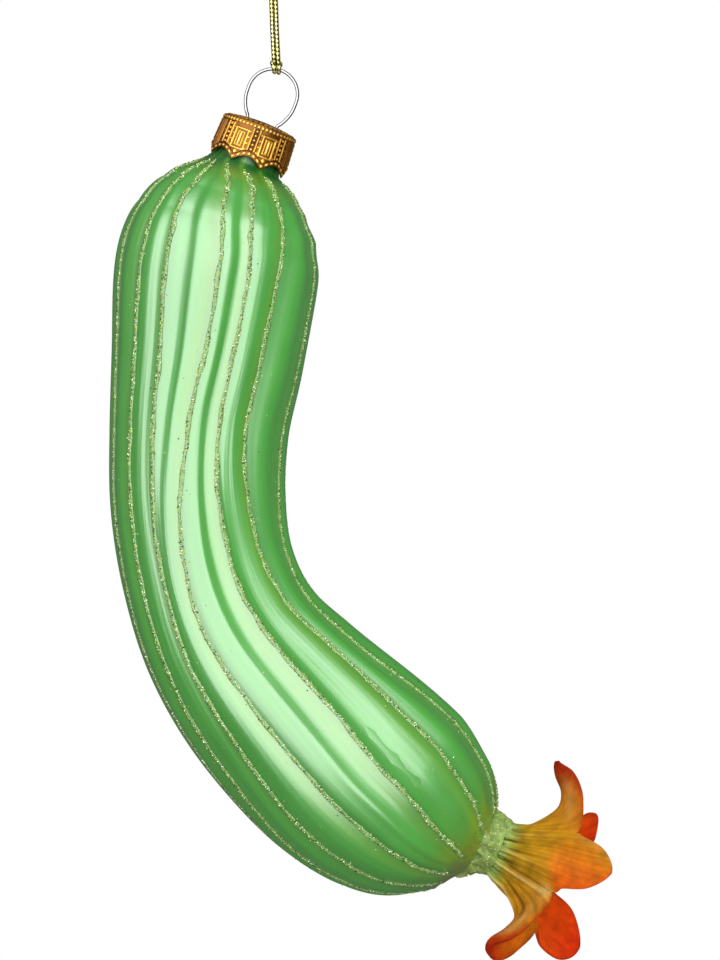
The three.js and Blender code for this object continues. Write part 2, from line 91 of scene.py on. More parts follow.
# How far the glass is turned, in degrees, from one glitter line (share 0) to the next (share 1),
# on the upper and on the lower body; ribs that aren't listed swell evenly
turn_shares = [0, 0.1, 0.25, 0.4, 0.5, 0.6, 0.75, 0.9, 1.0]
upper_turns = {
    1: [-6, -6, -5, 2, 9, 10, 1, -10, -13],
    2: [8, 16, 8, -22, -26, -4, 10, 2, -12],
    3: [0, -6, 0, 20, 22, 8, -10, -12, -14],
    4: [-14, -16, -14, -8, 0, 10, 16, 14, 10],
    5: [-18, -24, -26, 4, 16, 12, 4, 2, 0],
    6: [0, -3, -4, -2, 0, 2, 4, 3, 0],
}
lower_turns = {
    1: [-4, -4, -3, -2, 3, 5, 6, 2, -4],
    2: [-8, -12, -15, -10, -2, 8, 15, 15, 8],
    3: [-20, -12, 0, -8, 28, 22, -6, -10, -6],
    4: [20, 20, 4, -10, -14, -14, -10, 4, 10],
    5: [-16, -24, -22, 4, 14, 10, 4, 2, 0],
}
even_turn = 12.0
lower_from, lower_whole = 7.2, 10.2
rim_lip = ((0.0, 0.85), (0.12, 0.6), (0.15, 0.4), (0.1, 0.12))
# Width of the painted shade that darkens the lacquer beside each glitter line, as a share of a rib
groove_shade_share = 0.13
yellow_ribs, yellow_elsewhere = (2, 3, 4), 0.4

# Glitter lines: a low bead of glue, then grains
glitter_start, glitter_end = 2.1, 16.75
bead_width, bead_height = 0.78, 0.14
grain_radius = 0.00014
grains_per_area = 1.2e7
stray_grains_per_area, stray_grain_radius = 9e4, 0.00012

# Cap
cap_seat_gap, cap_sheet, cap_clearance = 0.3, 0.3, 0.5
cap_flare, cap_skirt, cap_dome = 0.45, 7.3, 0.9
tab_count, tab_depth = 8, 1.4
cap_columns, cap_rows = 448, 72
cap_top_radius = neck_radius + cap_clearance + cap_sheet
bead_pitch = 0.84
panel_turn = 45
dome_beads, rim_beads, hem_beads = 40, 56, 48
relief_gain = 3.4

# Hanger wire: half its route, distance from the middle line and height over the cap's edge
wire_radius = 0.3
ring_radius, ring_height = 4.45, 6.15
leg_away = 2.8
leg_route = [
    (2.9, -17), (4.0, -14.3), (4.2, -11.6), (3.4, -7.8), (leg_away, -5.4), (leg_away, -2.7), (leg_away, 0),
    (leg_away, 1.0), (3.34, 1.77), (4.0, 3.06), (4.38, 4.45),
]

# Cord: the strand's distance from the cord's middle line and its height, from the knot down
strand_radius = 0.42
cord_lean = 2.1
strand_route = [
    (0.45, 0.5), (0.5, 0.1), (0.75, -0.3), (1.35, -1.2), (1.6, -2.2), (1.25, -3.3), (0.7, -4.2), (0.41, -5.2),
    (0.40, -6.6), (0.40, -9.0), (0.40, -11.5),
]
hitch_angle = 9.0
braid_sides, braid_pitch = 16, 1.5
# Hitch: along the wire, away from the viewer and up, from the wire's middle
hitch_route = [
    (0.40, 0.12, 2.5), (0.40, 0.40, 1.4), (0.40, 0.66, 0.5), (0.40, 0.66, -0.05), (0.39, 0.43, -0.42),
    (0.39, 0.0, -0.54), (0.39, -0.43, -0.42), (0.42, -0.68, 0.05), (0.52, -0.64, 0.5), (0.70, -0.32, 0.85),
    (0.76, 0.34, 1.05), (0.55, 0.88, 1.2), (0.0, 1.15, 1.28),
]

# Knot: its loop's strand, then the path and strand of each cut tail and of its core
knot_strand = 0.5
knot_paths = [
    ([(-0.35, 0, 2.4), (-0.6, 0.05, 3.6), (-0.95, 0.1, 5.0), (-1.30, 0.0, 6.6)], 0.35),
    ([(0.35, 0, 2.4), (0.6, -0.05, 3.6), (0.95, -0.1, 5.0), (1.30, 0.0, 6.6)], 0.35),
    ([(0.0, 0, 0.9), (0.05, 0, 1.6), (-0.05, 0, 2.4), (0.0, 0, 3.1)], 0.75),
]

# Blossom, in its own frame: x along the tube, y away from the viewer, z up across the tube
blossom_along, blossom_offset, blossom_dip = 15.15, 5.8, 22.7
blossom_wall = 0.5
cleft_radius = 10.0
cleft_angles = [-162, -90, -18, 54, 126]
tube_profile = [(-12.5, 4.7), (-11.4, 4.75), (-10.4, 5.3), (-9.2, 5.7), (-7.4, 6.7)]
petals = [
    dict(name="lower_back", angle=-126, spine=[(-2.5, 10.2), (1.0, 11.8), (5.2, 13.2), (9.0, 13.9)],
         half=[7.6, 7.8, 6.4], cup=[1.6, 1.2, 0.4], red=0.95, turns_red=(0.35, 0.6), tip_from=0.4),
    dict(name="lower_front", angle=-60, spine=[(-4.2, 10.6), (-5.0, 14.3), (-6.5, 17.4), (-6.7, 19.6)],
         half=[5.4, 4.6, 3.2], cup=[3.4, 2.8, 2.0], red=0.1, turns_red=(0.4, 0.7), tip_from=0.5),
    dict(name="front", angle=18, spine=[(-3.0, 10.0), (1.0, 11.4), (5.0, 12.8), (8.3, 14.0)],
         half=[5.2, 4.3, 3.0], cup=[1.4, 0.9, 0.3], red=0.35, turns_red=(0.60, 0.68), tip_from=0.45),
    dict(name="top", angle=90, spine=[(-4.6, 10.6), (-4.9, 13.6), (-6.6, 16.0), (-8.0, 18.4)],
         half=[5.6, 4.4, 2.8], cup=[3.8, 3.0, 2.2], red=0.15, turns_red=(0.4, 0.7), tip_from=0.5),
    dict(name="upper_back", angle=150, spine=[(-3.0, 10.6), (-0.5, 12.6), (2.0, 14.6), (4.0, 16.0)],
         half=[6.6, 6.8, 5.4], cup=[1.6, 1.2, 0.4], red=1.0, turns_red=(0.35, 0.6), tip_from=0.4),
]
tip_least = 0.1
petal_columns, petal_rows = 60, 10
free_shares = np.sin(np.linspace(0, math.pi / 2, 3 * petal_rows + 1)[1:])

# Glue round the blossom's base
collar_profile = [(4.9, -15.6), (5.9, -15.5), (6.35, -14.8), (6.4, -14.1), (5.95, -13.3), (5.6, -12.5),
                  (5.35, -11.7), (4.95, -11.0)]
collar_slant = 0.1
collar_inside = [(4.6, along) for along in (-12.6, -13.6, -14.6)]
glue_drop = [(-16.0, -7.15, 0.95), (-14.9, -5.9, 0.75)]
collar_rings = 26
collar_grains_per_area, collar_grain_radius = 5e5, 0.0001

# Waves: size, count around, start, and how far the start moves from one ring or share to the next
collar_lumps = [(0.20, 5, 40, 0.0), (0.18, 9, 100, 0.3), (0.13, 16, 0, 0.8), (0.10, 23, 0, -1.1)]
collar_drifts = [(1.0, 4, 200, 0.0), (0.6, 11, 0, 0.0), (0.35, 19, 70, 0.0)]
petal_folds = [(1.0, 11, 0.7, 0), (0.7, 17, 2.1, 0), (0.7, 26, 4.0, 5), (0.6, 37, 1.3, -6)]

# Stage and light, in metres, watts and degrees
floor_height, floor_reach = -2.2, 9.0
cards = [("right_card", 64, 0.20), ("left_card", -92, 0.22)]
card_distance, card_half_height = 0.75, 0.8
object_middle = (0.0, 0.0, -0.09)
# Each lamp: name, place, aim, size, power, and what it doesn't light
lamps = [
    ("front_softbox", (-0.25, -0.62, 0.12), (-0.05, 0.0, -0.05), (1.5, 1.25), 20.0, "visible_diffuse"),
    ("top_softbox", (-0.10, -0.40, 0.75), object_middle, (1.0, 0.45), 1.2, "visible_diffuse"),
    ("key_light", (0.18, -0.78, 0.30), object_middle, (0.5, 0.5), 3.3, "visible_glossy"),
]
world_level, world_in_gloss = 0.68, 0.10


# Curves

def smooth_curve(points, t):
    """Points of a smooth curve through points; t counts points, whole or between two."""
    points = np.asarray(points, float)
    ends = np.vstack([2 * points[0] - points[1], points, 2 * points[-1] - points[-2]])
    t = np.clip(np.asarray(t, float), 0, len(points) - 1)
    i = np.minimum(t.astype(int), len(points) - 2)
    f = (t - i)[..., None]
    p0, p1, p2, p3 = (ends[i + k] for k in range(4))
    return 0.5 * (2 * p1 + (p2 - p0) * f + (2 * p0 - 5 * p1 + 4 * p2 - p3) * f ** 2
                  + (3 * p1 - p0 - 3 * p2 + p3) * f ** 3)


def even_path(points, spacing):
    """A smooth path through points with even steps near spacing."""
    fine = smooth_curve(points, np.linspace(0, len(points) - 1, len(points) * 60))
    lengths = np.concatenate([[0], np.cumsum(np.linalg.norm(np.diff(fine, axis=0), axis=1))])
    count = max(4, int(round(lengths[-1] / spacing)))
    at = np.linspace(0, lengths[-1], count + 1)
    return np.stack([np.interp(at, lengths, fine[:, k]) for k in range(3)], axis=1), at


def smooth_value(xs, ys, x):
    """A smooth value between the table's values ys at xs."""
    last = len(xs) - 1
    i = 0
    while i < last - 1 and x > xs[i + 1]:
        i += 1

    def slope(k):
        low, high = max(k - 1, 0), min(k + 1, last)
        return (ys[high] - ys[low]) / (xs[high] - xs[low])

    step = xs[i + 1] - xs[i]
    t = min(max((x - xs[i]) / step, 0.0), 1.0)
    return ((2 * t ** 3 - 3 * t ** 2 + 1) * ys[i] + (t ** 3 - 2 * t ** 2 + t) * step * slope(i)
            + (3 * t ** 2 - 2 * t ** 3) * ys[i + 1] + (t ** 3 - t ** 2) * step * slope(i + 1))


def smoothstep(x, low, high):
    t = np.clip((np.asarray(x, float) - low) / (high - low), 0, 1)
    return t * t * (3 - 2 * t)


# Meshes

def finish_mesh(name, points, faces, uvs=None, values=None):
    """A mesh from points in millimetres; faces that point inwards are turned."""
    points = np.asarray(points, float)
    volume = 0.0
    for face in faces:
        a = points[face[0]]
        for j in range(1, len(face) - 1):
            volume += float(np.dot(a, np.cross(points[face[j]], points[face[j + 1]])))
    if volume < 0:
        faces = [tuple(reversed(face)) for face in faces]
        uvs = [tuple(reversed(uv)) for uv in uvs] if uvs is not None else None
    mesh = bpy.data.meshes.new(name)
    mesh.from_pydata((points * MM).tolist(), [], faces)
    if uvs is not None:
        layer = mesh.uv_layers.new(name="UVMap")
        layer.data.foreach_set("uv", np.array([c for face in uvs for uv in face for c in uv], np.float32))
    for key, value in (values or {}).items():
        stored = mesh.attributes.new(key, "FLOAT", "POINT")
        stored.data.foreach_set("value", np.asarray(value, np.float32))
    mesh.polygons.foreach_set("use_smooth", [True] * len(mesh.polygons))
    mesh.update()
    return mesh


def ring_mesh(name, grid, lengths=None, poles=(True, True), values=None):
    """Skin rows of rings that close round; poles says which ends run into a middle point."""
    grid = np.asarray(grid, float)
    rows, columns = grid.shape[:2]
    points = grid.reshape(-1, 3).tolist()
    lengths = np.arange(rows, dtype=float) if lengths is None else lengths
    faces, uvs = [], []
    for r in range(rows - 1):
        for c in range(columns):
            d = (c + 1) % columns
            faces.append((r * columns + c, r * columns + d, (r + 1) * columns + d, (r + 1) * columns + c))
            u, w = c / columns, (c + 1) / columns
            uvs.append(((u, lengths[r]), (w, lengths[r]), (w, lengths[r + 1]), (u, lengths[r + 1])))
    flat = {k: np.asarray(v, float).reshape(-1).tolist() for k, v in (values or {}).items()}
    for wanted, r in zip(poles, (0, rows - 1)):
        if not wanted:
            continue
        middle = len(points)
        points.append(grid[r].mean(axis=0).tolist())
        for key in flat:
            flat[key].append(float(np.mean(flat[key][r * columns:(r + 1) * columns])))
        for c in range(columns):
            d = (c + 1) % columns
            face = (middle, r * columns + d, r * columns + c)
            faces.append(face if r == 0 else (middle, r * columns + c, r * columns + d))
            mid_uv = ((c + 0.5) / columns, lengths[r])
            pair = ((c + 1) / columns, lengths[r]), (c / columns, lengths[r])
            uvs.append((mid_uv, *pair) if r == 0 else (mid_uv, pair[1], pair[0]))
    return finish_mesh(name, points, faces, uvs, flat)


def put_in_scene(name, data):
    obj = bpy.data.objects.new(name, data)
    bpy.context.scene.collection.objects.link(obj)
    return obj


def bake_modifiers(obj):
    """Keep what obj's modifiers make as its plain mesh, and remove them."""
    bpy.context.view_layer.update()
    shown = obj.evaluated_get(bpy.context.evaluated_depsgraph_get())
    mesh = bpy.data.meshes.new_from_object(shown)
    obj.modifiers.clear()
    obj.data = mesh


def dress(obj, material, body, replaced):
    """Give a finished piece its one material, unless it has its own, and say what it rides and stands for."""
    if material is not None:
        obj.data.materials.clear()
        obj.data.materials.append(material)
    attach(obj, body)
    if replaced:
        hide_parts(*replaced)
    return obj


def add_piece(name, mesh, material, body, replaced):
    return dress(put_in_scene(name, mesh), material, body, replaced)


def sweep(path, radius, sides):
    """Rings round a path; radius is a number or a table of rows by sides."""
    path = np.asarray(path, float)
    tangent = np.gradient(path, axis=0)
    tangent /= np.linalg.norm(tangent, axis=1)[:, None]
    normal = np.zeros_like(path)
    previous = np.array([0.0, 1.0, 0.0] if abs(tangent[0][1]) < 0.9 else [1.0, 0.0, 0.0])
    for k in range(len(path)):
        flat = previous - tangent[k] * np.dot(previous, tangent[k])
        previous = flat / np.linalg.norm(flat)
        normal[k] = previous
    across = np.cross(tangent, normal)
    angle = np.arange(sides) * 2 * math.pi / sides
    radius = np.broadcast_to(np.asarray(radius, float), (len(path), sides))
    return (path[:, None] + radius[..., None] * (np.cos(angle)[None, :, None] * normal[:, None]
                                                 + np.sin(angle)[None, :, None] * across[:, None]))


def waves(angle, table, step=0):
    """The sum of a table's waves round a ring, at angles in degrees."""
    return sum(size * np.sin(np.radians(angle * count + start) + step * move) for size, count, start, move in table)


# Sections of the glass

lean = math.radians(neck_lean)
neck_axis = np.array([math.sin(lean), 0.0, math.cos(lean)])
neck_across = np.array([math.cos(lean), 0.0, -math.sin(lean)])
neck_rim = np.array([neck_x, 0.0, neck_z])
neck_foot = neck_rim - neck_axis * neck_length
cap_top = neck_rim + neck_axis * (cap_seat_gap + cap_sheet)
neck_stations = [(end[0], end[2], neck_radius) for end in (neck_rim, neck_foot)]
all_stations = [*neck_stations, *body_stations]
last_station = len(all_stations) - 1


def section_at(station):
    """Middle, direction, sideways direction and radius of the glass at a station."""
    middle = smooth_curve(all_stations, station)
    step = smooth_curve(all_stations, station + 0.01) - smooth_curve(all_stations, station - 0.01)
    along = np.array([step[0], 0.0, step[1]])
    along /= np.linalg.norm(along)
    side = np.array([-along[2], 0.0, along[0]])
    return np.array([middle[0], 0.0, middle[1]]), along, side, middle[2]


def line_angle(line, station):
    """Where a glitter line lies round the glass, in degrees; the hidden ones are spaced between the seen."""
    shown = len(glitter_angles)
    if line < shown:
        return smooth_value(glitter_stations, glitter_angles[line], station)
    first = smooth_value(glitter_stations, glitter_angles[0], station) + 360
    if line == line_count:
        return first
    last = smooth_value(glitter_stations, glitter_angles[shown - 1], station)
    share = (line - shown + 1) / (hidden_lines + 1)
    return last + (first - last) * share + hidden_sway * math.sin(station * 0.9 + line * 2.1)


def rib_fade(station):
    return float(smoothstep(station, 2, 5) * (1 - smoothstep(station, 15, last_station)))


def height_table(turns):
    """Heights along a rib for one unit of its width, from the turn at each share."""
    shares = np.linspace(0, 1, 101)
    if turns is None:
        turned = -even_turn * np.sin(2 * math.pi * shares)
    else:
        turned = np.array([smooth_value(turn_shares, turns, s) for s in shares])
    slope = -np.tan(np.radians(turned - turned[:-1].mean()))
    return np.concatenate([[0], np.cumsum((slope[1:] + slope[:-1]) / 200)])


rib_heights = [[height_table(turns.get(rib)) for turns in (upper_turns, lower_turns)] for rib in range(line_count)]


def rib_relief(rib, share, station):
    """Height of the glass over its plain section, from one line to the next."""
    upper, lower = rib_heights[rib]
    part = float(smoothstep(station, lower_from, lower_whole))
    at = share * 100
    height = np.interp(at, range(101), upper) * (1 - part) + np.interp(at, range(101), lower) * part
    width = math.radians(line_angle(rib + 1, station) - line_angle(rib, station)) * section_at(station)[3]
    return (height * width - rib_height / 2) * rib_fade(station)


def round_point(section, angle, radius):
    centre, _, side, _ = section
    turn = math.radians(angle)
    return centre + radius * (math.sin(turn) * side + np.array([0.0, -math.cos(turn), 0.0]))


end_section = section_at(last_station)


def sealed_section(t):
    along, offset, radius = smooth_curve([(0.0, 0.0, end_section[3]), *sealed_end], t)
    centre, direction, side, _ = end_section
    return centre + direction * along + side * offset, direction, side, radius


def glass_ring(section, station, inset=0.0):
    centre, _, side, radius = section
    shares = np.arange(columns_per_rib) / columns_per_rib
    ring = []
    for rib in range(line_count):
        low, high = line_angle(rib, station), line_angle(rib + 1, station)
        relief = rib_relief(rib, shares, station) if inset == 0 else 0.0
        turn = np.radians(low + (high - low) * shares)[:, None]
        reach = np.broadcast_to(radius + relief - inset, shares.shape)[:, None]
        ring.append(centre + reach * (np.sin(turn) * side - np.cos(turn) * np.array([0.0, 1.0, 0.0])))
    return np.concatenate(ring)


def make_glass(material):
    """Outer skin from the rim to the sealed end, with the rim's rounded lip and the lining behind it."""
    rows, stations = [], []
    for station in np.arange(last_station, -0.01, -0.5):
        rows.append(glass_ring(section_at(station), station, glass_wall))
        stations.append(station)
    centre, along, side, radius = section_at(0)
    for lift, inset in rim_lip:
        rows.append(glass_ring((centre + neck_axis * (lift - 0.15), along, side, radius), 0, inset))
        stations.append(0.0)
    for step in range(last_station * rows_per_station + 1):
        station = step / rows_per_station
        rows.append(glass_ring(section_at(max(station, 0.02)), station))
        stations.append(station)
    for t in np.linspace(0.25, len(sealed_end), 4 * len(sealed_end)):
        rows.append(glass_ring(sealed_section(t), last_station))
        stations.append(last_station + t / len(sealed_end))
    columns = line_count * columns_per_rib
    shares = np.tile(np.arange(columns_per_rib) / columns_per_rib, line_count)
    tinted = np.repeat([1.0 if rib in yellow_ribs else yellow_elsewhere for rib in range(line_count)],
                       columns_per_rib)
    yellow = smoothstep(shares, 0.55, 0.9) * tinted
    # Painted shade: how strongly the lacquer is darkened near the lines on either side of a rib
    groove = np.exp(-(np.minimum(shares, 1 - shares) / groove_shade_share) ** 2)
    values = {"station": np.repeat(np.array(stations)[:, None], columns, axis=1),
              "groove": np.repeat(groove[None], len(rows), axis=0),
              "yellow": np.repeat(yellow[None], len(rows), axis=0)}
    mesh = ring_mesh("glass_skin", np.array(rows), values=values)
    add_piece("glass_skin", mesh, material, "glass", ["glass_body"])


# Node helpers

def open_socket(sockets, name):
    return next(s for s in sockets if s.name == name and s.enabled)


def node(tree, kind, inputs=None, **settings):
    made = tree.nodes.new(kind)
    for key, value in settings.items():
        setattr(made, key, value)
    for key, value in (inputs or {}).items():
        target = made.inputs[key] if isinstance(key, int) else open_socket(made.inputs, key)
        if isinstance(value, bpy.types.NodeSocket):
            tree.links.new(value, target)
        else:
            target.default_value = value
    return made


def ramp(tree, factor, stops):
    made = node(tree, "ShaderNodeValToRGB", {"Fac": factor})
    elements = made.color_ramp.elements
    while len(elements) < len(stops):
        elements.new(0.5)
    for element, (place, colour) in zip(elements, stops):
        element.position = place
        element.color = (*colour, 1.0)
    return made.outputs["Color"]


def mix_colour(tree, factor, a, b):
    made = node(tree, "ShaderNodeMix", data_type="RGBA")
    for index, value in ((0, factor), (6, a), (7, b)):
        if isinstance(value, bpy.types.NodeSocket):
            tree.links.new(value, made.inputs[index])
        else:
            made.inputs[index].default_value = (*value, 1.0)
    return made.outputs[2]


def maths(tree, operation, a, b):
    return node(tree, "ShaderNodeMath", {0: a, 1: b}, operation=operation).outputs[0]


def attribute(tree, name):
    return node(tree, "ShaderNodeAttribute", attribute_name=name).outputs["Fac"]


def map_range(tree, value, low, high, start=0.0, end=1.0):
    made = node(tree, "ShaderNodeMapRange", {"Value": value, "From Min": start, "From Max": end,
                                             "To Min": low, "To Max": high})
    return made.outputs["Result"]


def new_material(name, **constants):
    material = bpy.data.materials.new(name)
    material.use_nodes = True
    shader = next(n for n in material.node_tree.nodes if n.type == "BSDF_PRINCIPLED")
    for key, value in constants.items():
        socket = shader.inputs[key.replace("_", " ").title().replace("Ior", "IOR")]
        socket.default_value = (*value, 1.0) if socket.type == "RGBA" else value
    return material, material.node_tree, shader


def new_group(name, inputs, outputs):
    """A shader node group; inputs and outputs are name to (socket type, default)."""
    group = bpy.data.node_groups.new(name, "ShaderNodeTree")
    for label, (kind, value) in inputs.items():
        socket = group.interface.new_socket(label, in_out="INPUT", socket_type=kind)
        if value is not None:
            socket.default_value = value
    for label, kind in outputs.items():
        group.interface.new_socket(label, in_out="OUTPUT", socket_type=kind)
    entry, leave = group.nodes.new("NodeGroupInput"), group.nodes.new("NodeGroupOutput")
    return group, entry, leave


def use_group(tree, group, inputs):
    made = tree.nodes.new("ShaderNodeGroup")
    made.node_tree = group
    for key, value in inputs.items():
        if isinstance(value, bpy.types.NodeSocket):
            tree.links.new(value, made.inputs[key])
        else:
            made.inputs[key].default_value = value
    return made


# Shared effects

def shade_colour(group, entry, leave, noise, swing):
    """Make the group's Color lighter and darker by its noise, as far as Strength says."""
    gain = maths(group, "MULTIPLY", maths(group, "SUBTRACT", noise.outputs["Fac"], 0.5), entry.outputs["Strength"])
    level = maths(group, "ADD", maths(group, "MULTIPLY", gain, swing), 1.0)
    scaled = node(group, "ShaderNodeVectorMath", {0: entry.outputs["Color"], "Scale": level}, operation="SCALE")
    group.links.new(scaled.outputs[0], leave.inputs["Color"])


def make_mottling_group():
    """Soft light and dark patches, and a fine grain for bump."""
    group, entry, leave = new_group("soft mottling", {
        "Vector": ("NodeSocketVector", None), "Color": ("NodeSocketColor", (0.5, 0.5, 0.5, 1.0)),
        "Patch Size": ("NodeSocketFloat", 90.0), "Strength": ("NodeSocketFloat", 0.1),
        "Grain Size": ("NodeSocketFloat", 2500.0),
    }, {"Color": "NodeSocketColor", "Patches": "NodeSocketFloat", "Grain": "NodeSocketFloat"})
    patches = node(group, "ShaderNodeTexNoise", {
        "Vector": entry.outputs["Vector"], "Scale": entry.outputs["Patch Size"], "Detail": 3.0, "Roughness": 0.55})
    grain = node(group, "ShaderNodeTexNoise", {
        "Vector": entry.outputs["Vector"], "Scale": entry.outputs["Grain Size"], "Detail": 2.0})
    shade_colour(group, entry, leave, patches, 2.0)
    group.links.new(patches.outputs["Fac"], leave.inputs["Patches"])
    group.links.new(grain.outputs["Fac"], leave.inputs["Grain"])
    return group


def make_streak_group():
    """Long faint streaks along a rib, as blown glass keeps them: a shade of the colour, and a height."""
    group, entry, leave = new_group("long streaks", {
        "Vector": ("NodeSocketVector", None), "Color": ("NodeSocketColor", (0.5, 0.5, 0.5, 1.0)),
        "Count Around": ("NodeSocketFloat", 90.0), "Strength": ("NodeSocketFloat", 0.1),
    }, {"Color": "NodeSocketColor", "Height": "NodeSocketFloat"})
    place = node(group, "ShaderNodeSeparateXYZ", {"Vector": entry.outputs["Vector"]})
    around = maths(group, "MULTIPLY", place.outputs["X"], entry.outputs["Count Around"])
    along = maths(group, "MULTIPLY", place.outputs["Y"], 0.035)
    stretched = node(group, "ShaderNodeCombineXYZ", {"X": around, "Y": along})
    streaks = node(group, "ShaderNodeTexNoise", {
        "Vector": stretched.outputs["Vector"], "Scale": 1.0, "Detail": 1.5, "Roughness": 0.4})
    shade_colour(group, entry, leave, streaks, 1.0)
    group.links.new(streaks.outputs["Fac"], leave.inputs["Height"])
    return group


def make_speckle_group():
    """Scattered small specks: a mask and a random tone for each."""
    group, entry, leave = new_group("fine specks", {
        "Vector": ("NodeSocketVector", None), "Size": ("NodeSocketFloat", 2500.0), "Share": ("NodeSocketFloat", 0.3),
    }, {"Mask": "NodeSocketFloat", "Tone": "NodeSocketFloat"})
    cells = node(group, "ShaderNodeTexVoronoi", {"Vector": entry.outputs["Vector"], "Scale": entry.outputs["Size"]})
    parts = node(group, "ShaderNodeSeparateColor", {"Color": cells.outputs["Color"]})
    chosen = maths(group, "LESS_THAN", parts.outputs[0], entry.outputs["Share"])
    near = maths(group, "LESS_THAN", cells.outputs["Distance"], 0.45)
    group.links.new(maths(group, "MULTIPLY", chosen, near), leave.inputs["Mask"])
    group.links.new(parts.outputs[1], leave.inputs["Tone"])
    return group


mottling = make_mottling_group()
streaking = make_streak_group()
specks = make_speckle_group()


def object_place(tree):
    return tree.nodes.new("ShaderNodeTexCoord").outputs["Object"]


def mottled(tree, place, colour, patch_size, strength, grain_size):
    return use_group(tree, mottling, {"Vector": place, "Color": colour, "Patch Size": patch_size,
                                      "Strength": strength, "Grain Size": grain_size}).outputs


def bump(tree, height, strength, distance, shader):
    made = node(tree, "ShaderNodeBump", {"Height": height, "Strength": strength, "Distance": distance})
    tree.links.new(made.outputs["Normal"], shader.inputs["Normal"])
    tree.links.new(made.outputs["Normal"], shader.inputs["Coat Normal"])


# Materials

# Green along the glass by station; the darkest stops, on the neck within and just below the cap, are painted shade
glass_colours_with_cap_shade = [
    (0.0, (0.008, 0.10, 0.008)), (0.11, (0.015, 0.17, 0.015)), (0.15, (0.10, 0.38, 0.02)),
    (0.22, (0.07, 0.47, 0.045)), (0.80, (0.07, 0.47, 0.035)), (0.88, (0.10, 0.42, 0.03)),
    (0.945, (0.20, 0.33, 0.025)),
]
grain_colours = [
    (0.0, (0.03, 0.045, 0.015)), (0.16, (0.10, 0.14, 0.04)), (0.22, (0.45, 0.42, 0.12)),
    (0.45, (0.46, 0.60, 0.19)), (0.82, (0.50, 0.68, 0.26)), (0.88, (0.85, 0.95, 0.60)),
    (1.0, (0.95, 1.0, 0.8)),
]
# Cap colour by relief, from painted shade in the hollows to a painted highlight on what stands proud
cap_shade_to_highlight_colours = [
    (0.0, (0.03, 0.008, 0.001)), (0.28, (0.11, 0.032, 0.003)), (0.44, (0.30, 0.11, 0.009)),
    (0.72, (0.74, 0.37, 0.03)), (1.0, (1.0, 0.78, 0.24)),
]
# Thread colour by height, from painted shade in the gaps to a painted highlight on top
thread_shade_to_highlight_colours = [
    (0.0, (0.012, 0.010, 0.002)), (0.35, (0.10, 0.085, 0.012)), (0.6, (0.55, 0.50, 0.13)),
    (0.85, (1.0, 0.95, 0.42)), (1.0, (1.0, 1.0, 0.75)),
]
amber_petal_colours = [
    (0.0, (0.29, 0.45, 0.12)), (0.25, (0.29, 0.42, 0.10)), (0.34, (0.30, 0.31, 0.035)),
    (0.47, (0.40, 0.235, 0.008)), (0.72, (0.54, 0.20, 0.006)), (0.82, (0.44, 0.095, 0.004)),
    (0.90, (0.42, 0.035, 0.003)), (1.0, (0.27, 0.008, 0.002)),
]
red_petal_colours = [
    (0.0, (0.27, 0.45, 0.10)), (0.3, (0.45, 0.26, 0.012)), (0.5, (0.66, 0.13, 0.002)),
    (0.75, (0.74, 0.075, 0.001)), (1.0, (0.66, 0.028, 0.001)),
]
# Each mark on the petals: attribute, strength and colour; crease is painted shade in the folds' hollows, shine a
# painted highlight on their ridges, pale partly a painted highlight along a fold
petal_marks = [
    ("crease", 0.85, (0.10, 0.055, 0.006)), ("shine", 0.55, (0.72, 0.55, 0.20)),
    ("pale", 0.5, (0.58, 0.34, 0.10)), ("rim", 0.7, (0.34, 0.02, 0.002)),
]
glue_grain_colours = [(0.0, (0.10, 0.25, 0.08)), (0.5, (0.6, 0.8, 0.45)), (1.0, (0.9, 1.0, 0.7))]


def lacquered_glass():
    """Satin green lacquer over silvered glass; painted shade makes it dark green on the neck within the cap and
    darker beside the lines; yellower just below the cap, olive by the blossom.
    """
    material, tree, shader = new_material("green_lacquered_glass", metallic=0.0, roughness=0.42,
                                          coat_weight=1.0, coat_roughness=0.30, coat_ior=2.0)
    station = attribute(tree, "station")
    green = ramp(tree, maths(tree, "DIVIDE", station, float(last_station + 1)), glass_colours_with_cap_shade)
    # yellow tints the lacquer; groove darkens it beside the lines as painted shade
    for key, strength, tone in (("yellow", 0.6, (0.19, 0.48, 0.02)), ("groove", 0.5, (0.03, 0.27, 0.02))):
        green = mix_colour(tree, maths(tree, "MULTIPLY", attribute(tree, key), strength), green, tone)
    patches = mottled(tree, object_place(tree), green, 70.0, 0.14, 1800.0)
    tree.links.new(map_range(tree, patches["Patches"], 0.36, 0.5), shader.inputs["Roughness"])
    along = node(tree, "ShaderNodeUVMap", uv_map="UVMap").outputs["UV"]
    streaks = use_group(tree, streaking, {"Vector": along, "Color": patches["Color"],
                                          "Count Around": 84.0, "Strength": 0.3})
    tree.links.new(streaks.outputs["Color"], shader.inputs["Base Color"])
    tree.links.new(map_range(tree, station, 0.1, 1.0, 1.2, 3.0), shader.inputs["Coat Weight"])
    drawn = maths(tree, "MULTIPLY", streaks.outputs["Height"], map_range(tree, station, 0.0, 1.0, 3.5, 7.0))
    grain = maths(tree, "MULTIPLY", patches["Grain"], 0.03)
    bump(tree, maths(tree, "ADD", drawn, grain), 1.0, 0.00011, shader)
    return material


def clear_glue():
    material, tree, shader = new_material("glitter_glue", roughness=0.25, coat_weight=0.4, coat_roughness=0.1)
    patches = mottled(tree, object_place(tree), (0.24, 0.48, 0.14, 1.0), 900.0, 0.5, 3000.0)
    tree.links.new(patches["Color"], shader.inputs["Base Color"])
    bump(tree, patches["Grain"], 0.3, 0.0001, shader)
    return material


def glitter_grains():
    """Flakes of pale gold, silver and a few dark ones, by each grain's own tone."""
    material, tree, shader = new_material("gold_and_silver_grains", metallic=0.5, roughness=0.3)
    colour = ramp(tree, attribute(tree, "tone"), grain_colours)
    patches = mottled(tree, object_place(tree), colour, 2500.0, 0.2, 6000.0)
    tree.links.new(patches["Color"], shader.inputs["Base Color"])
    return material


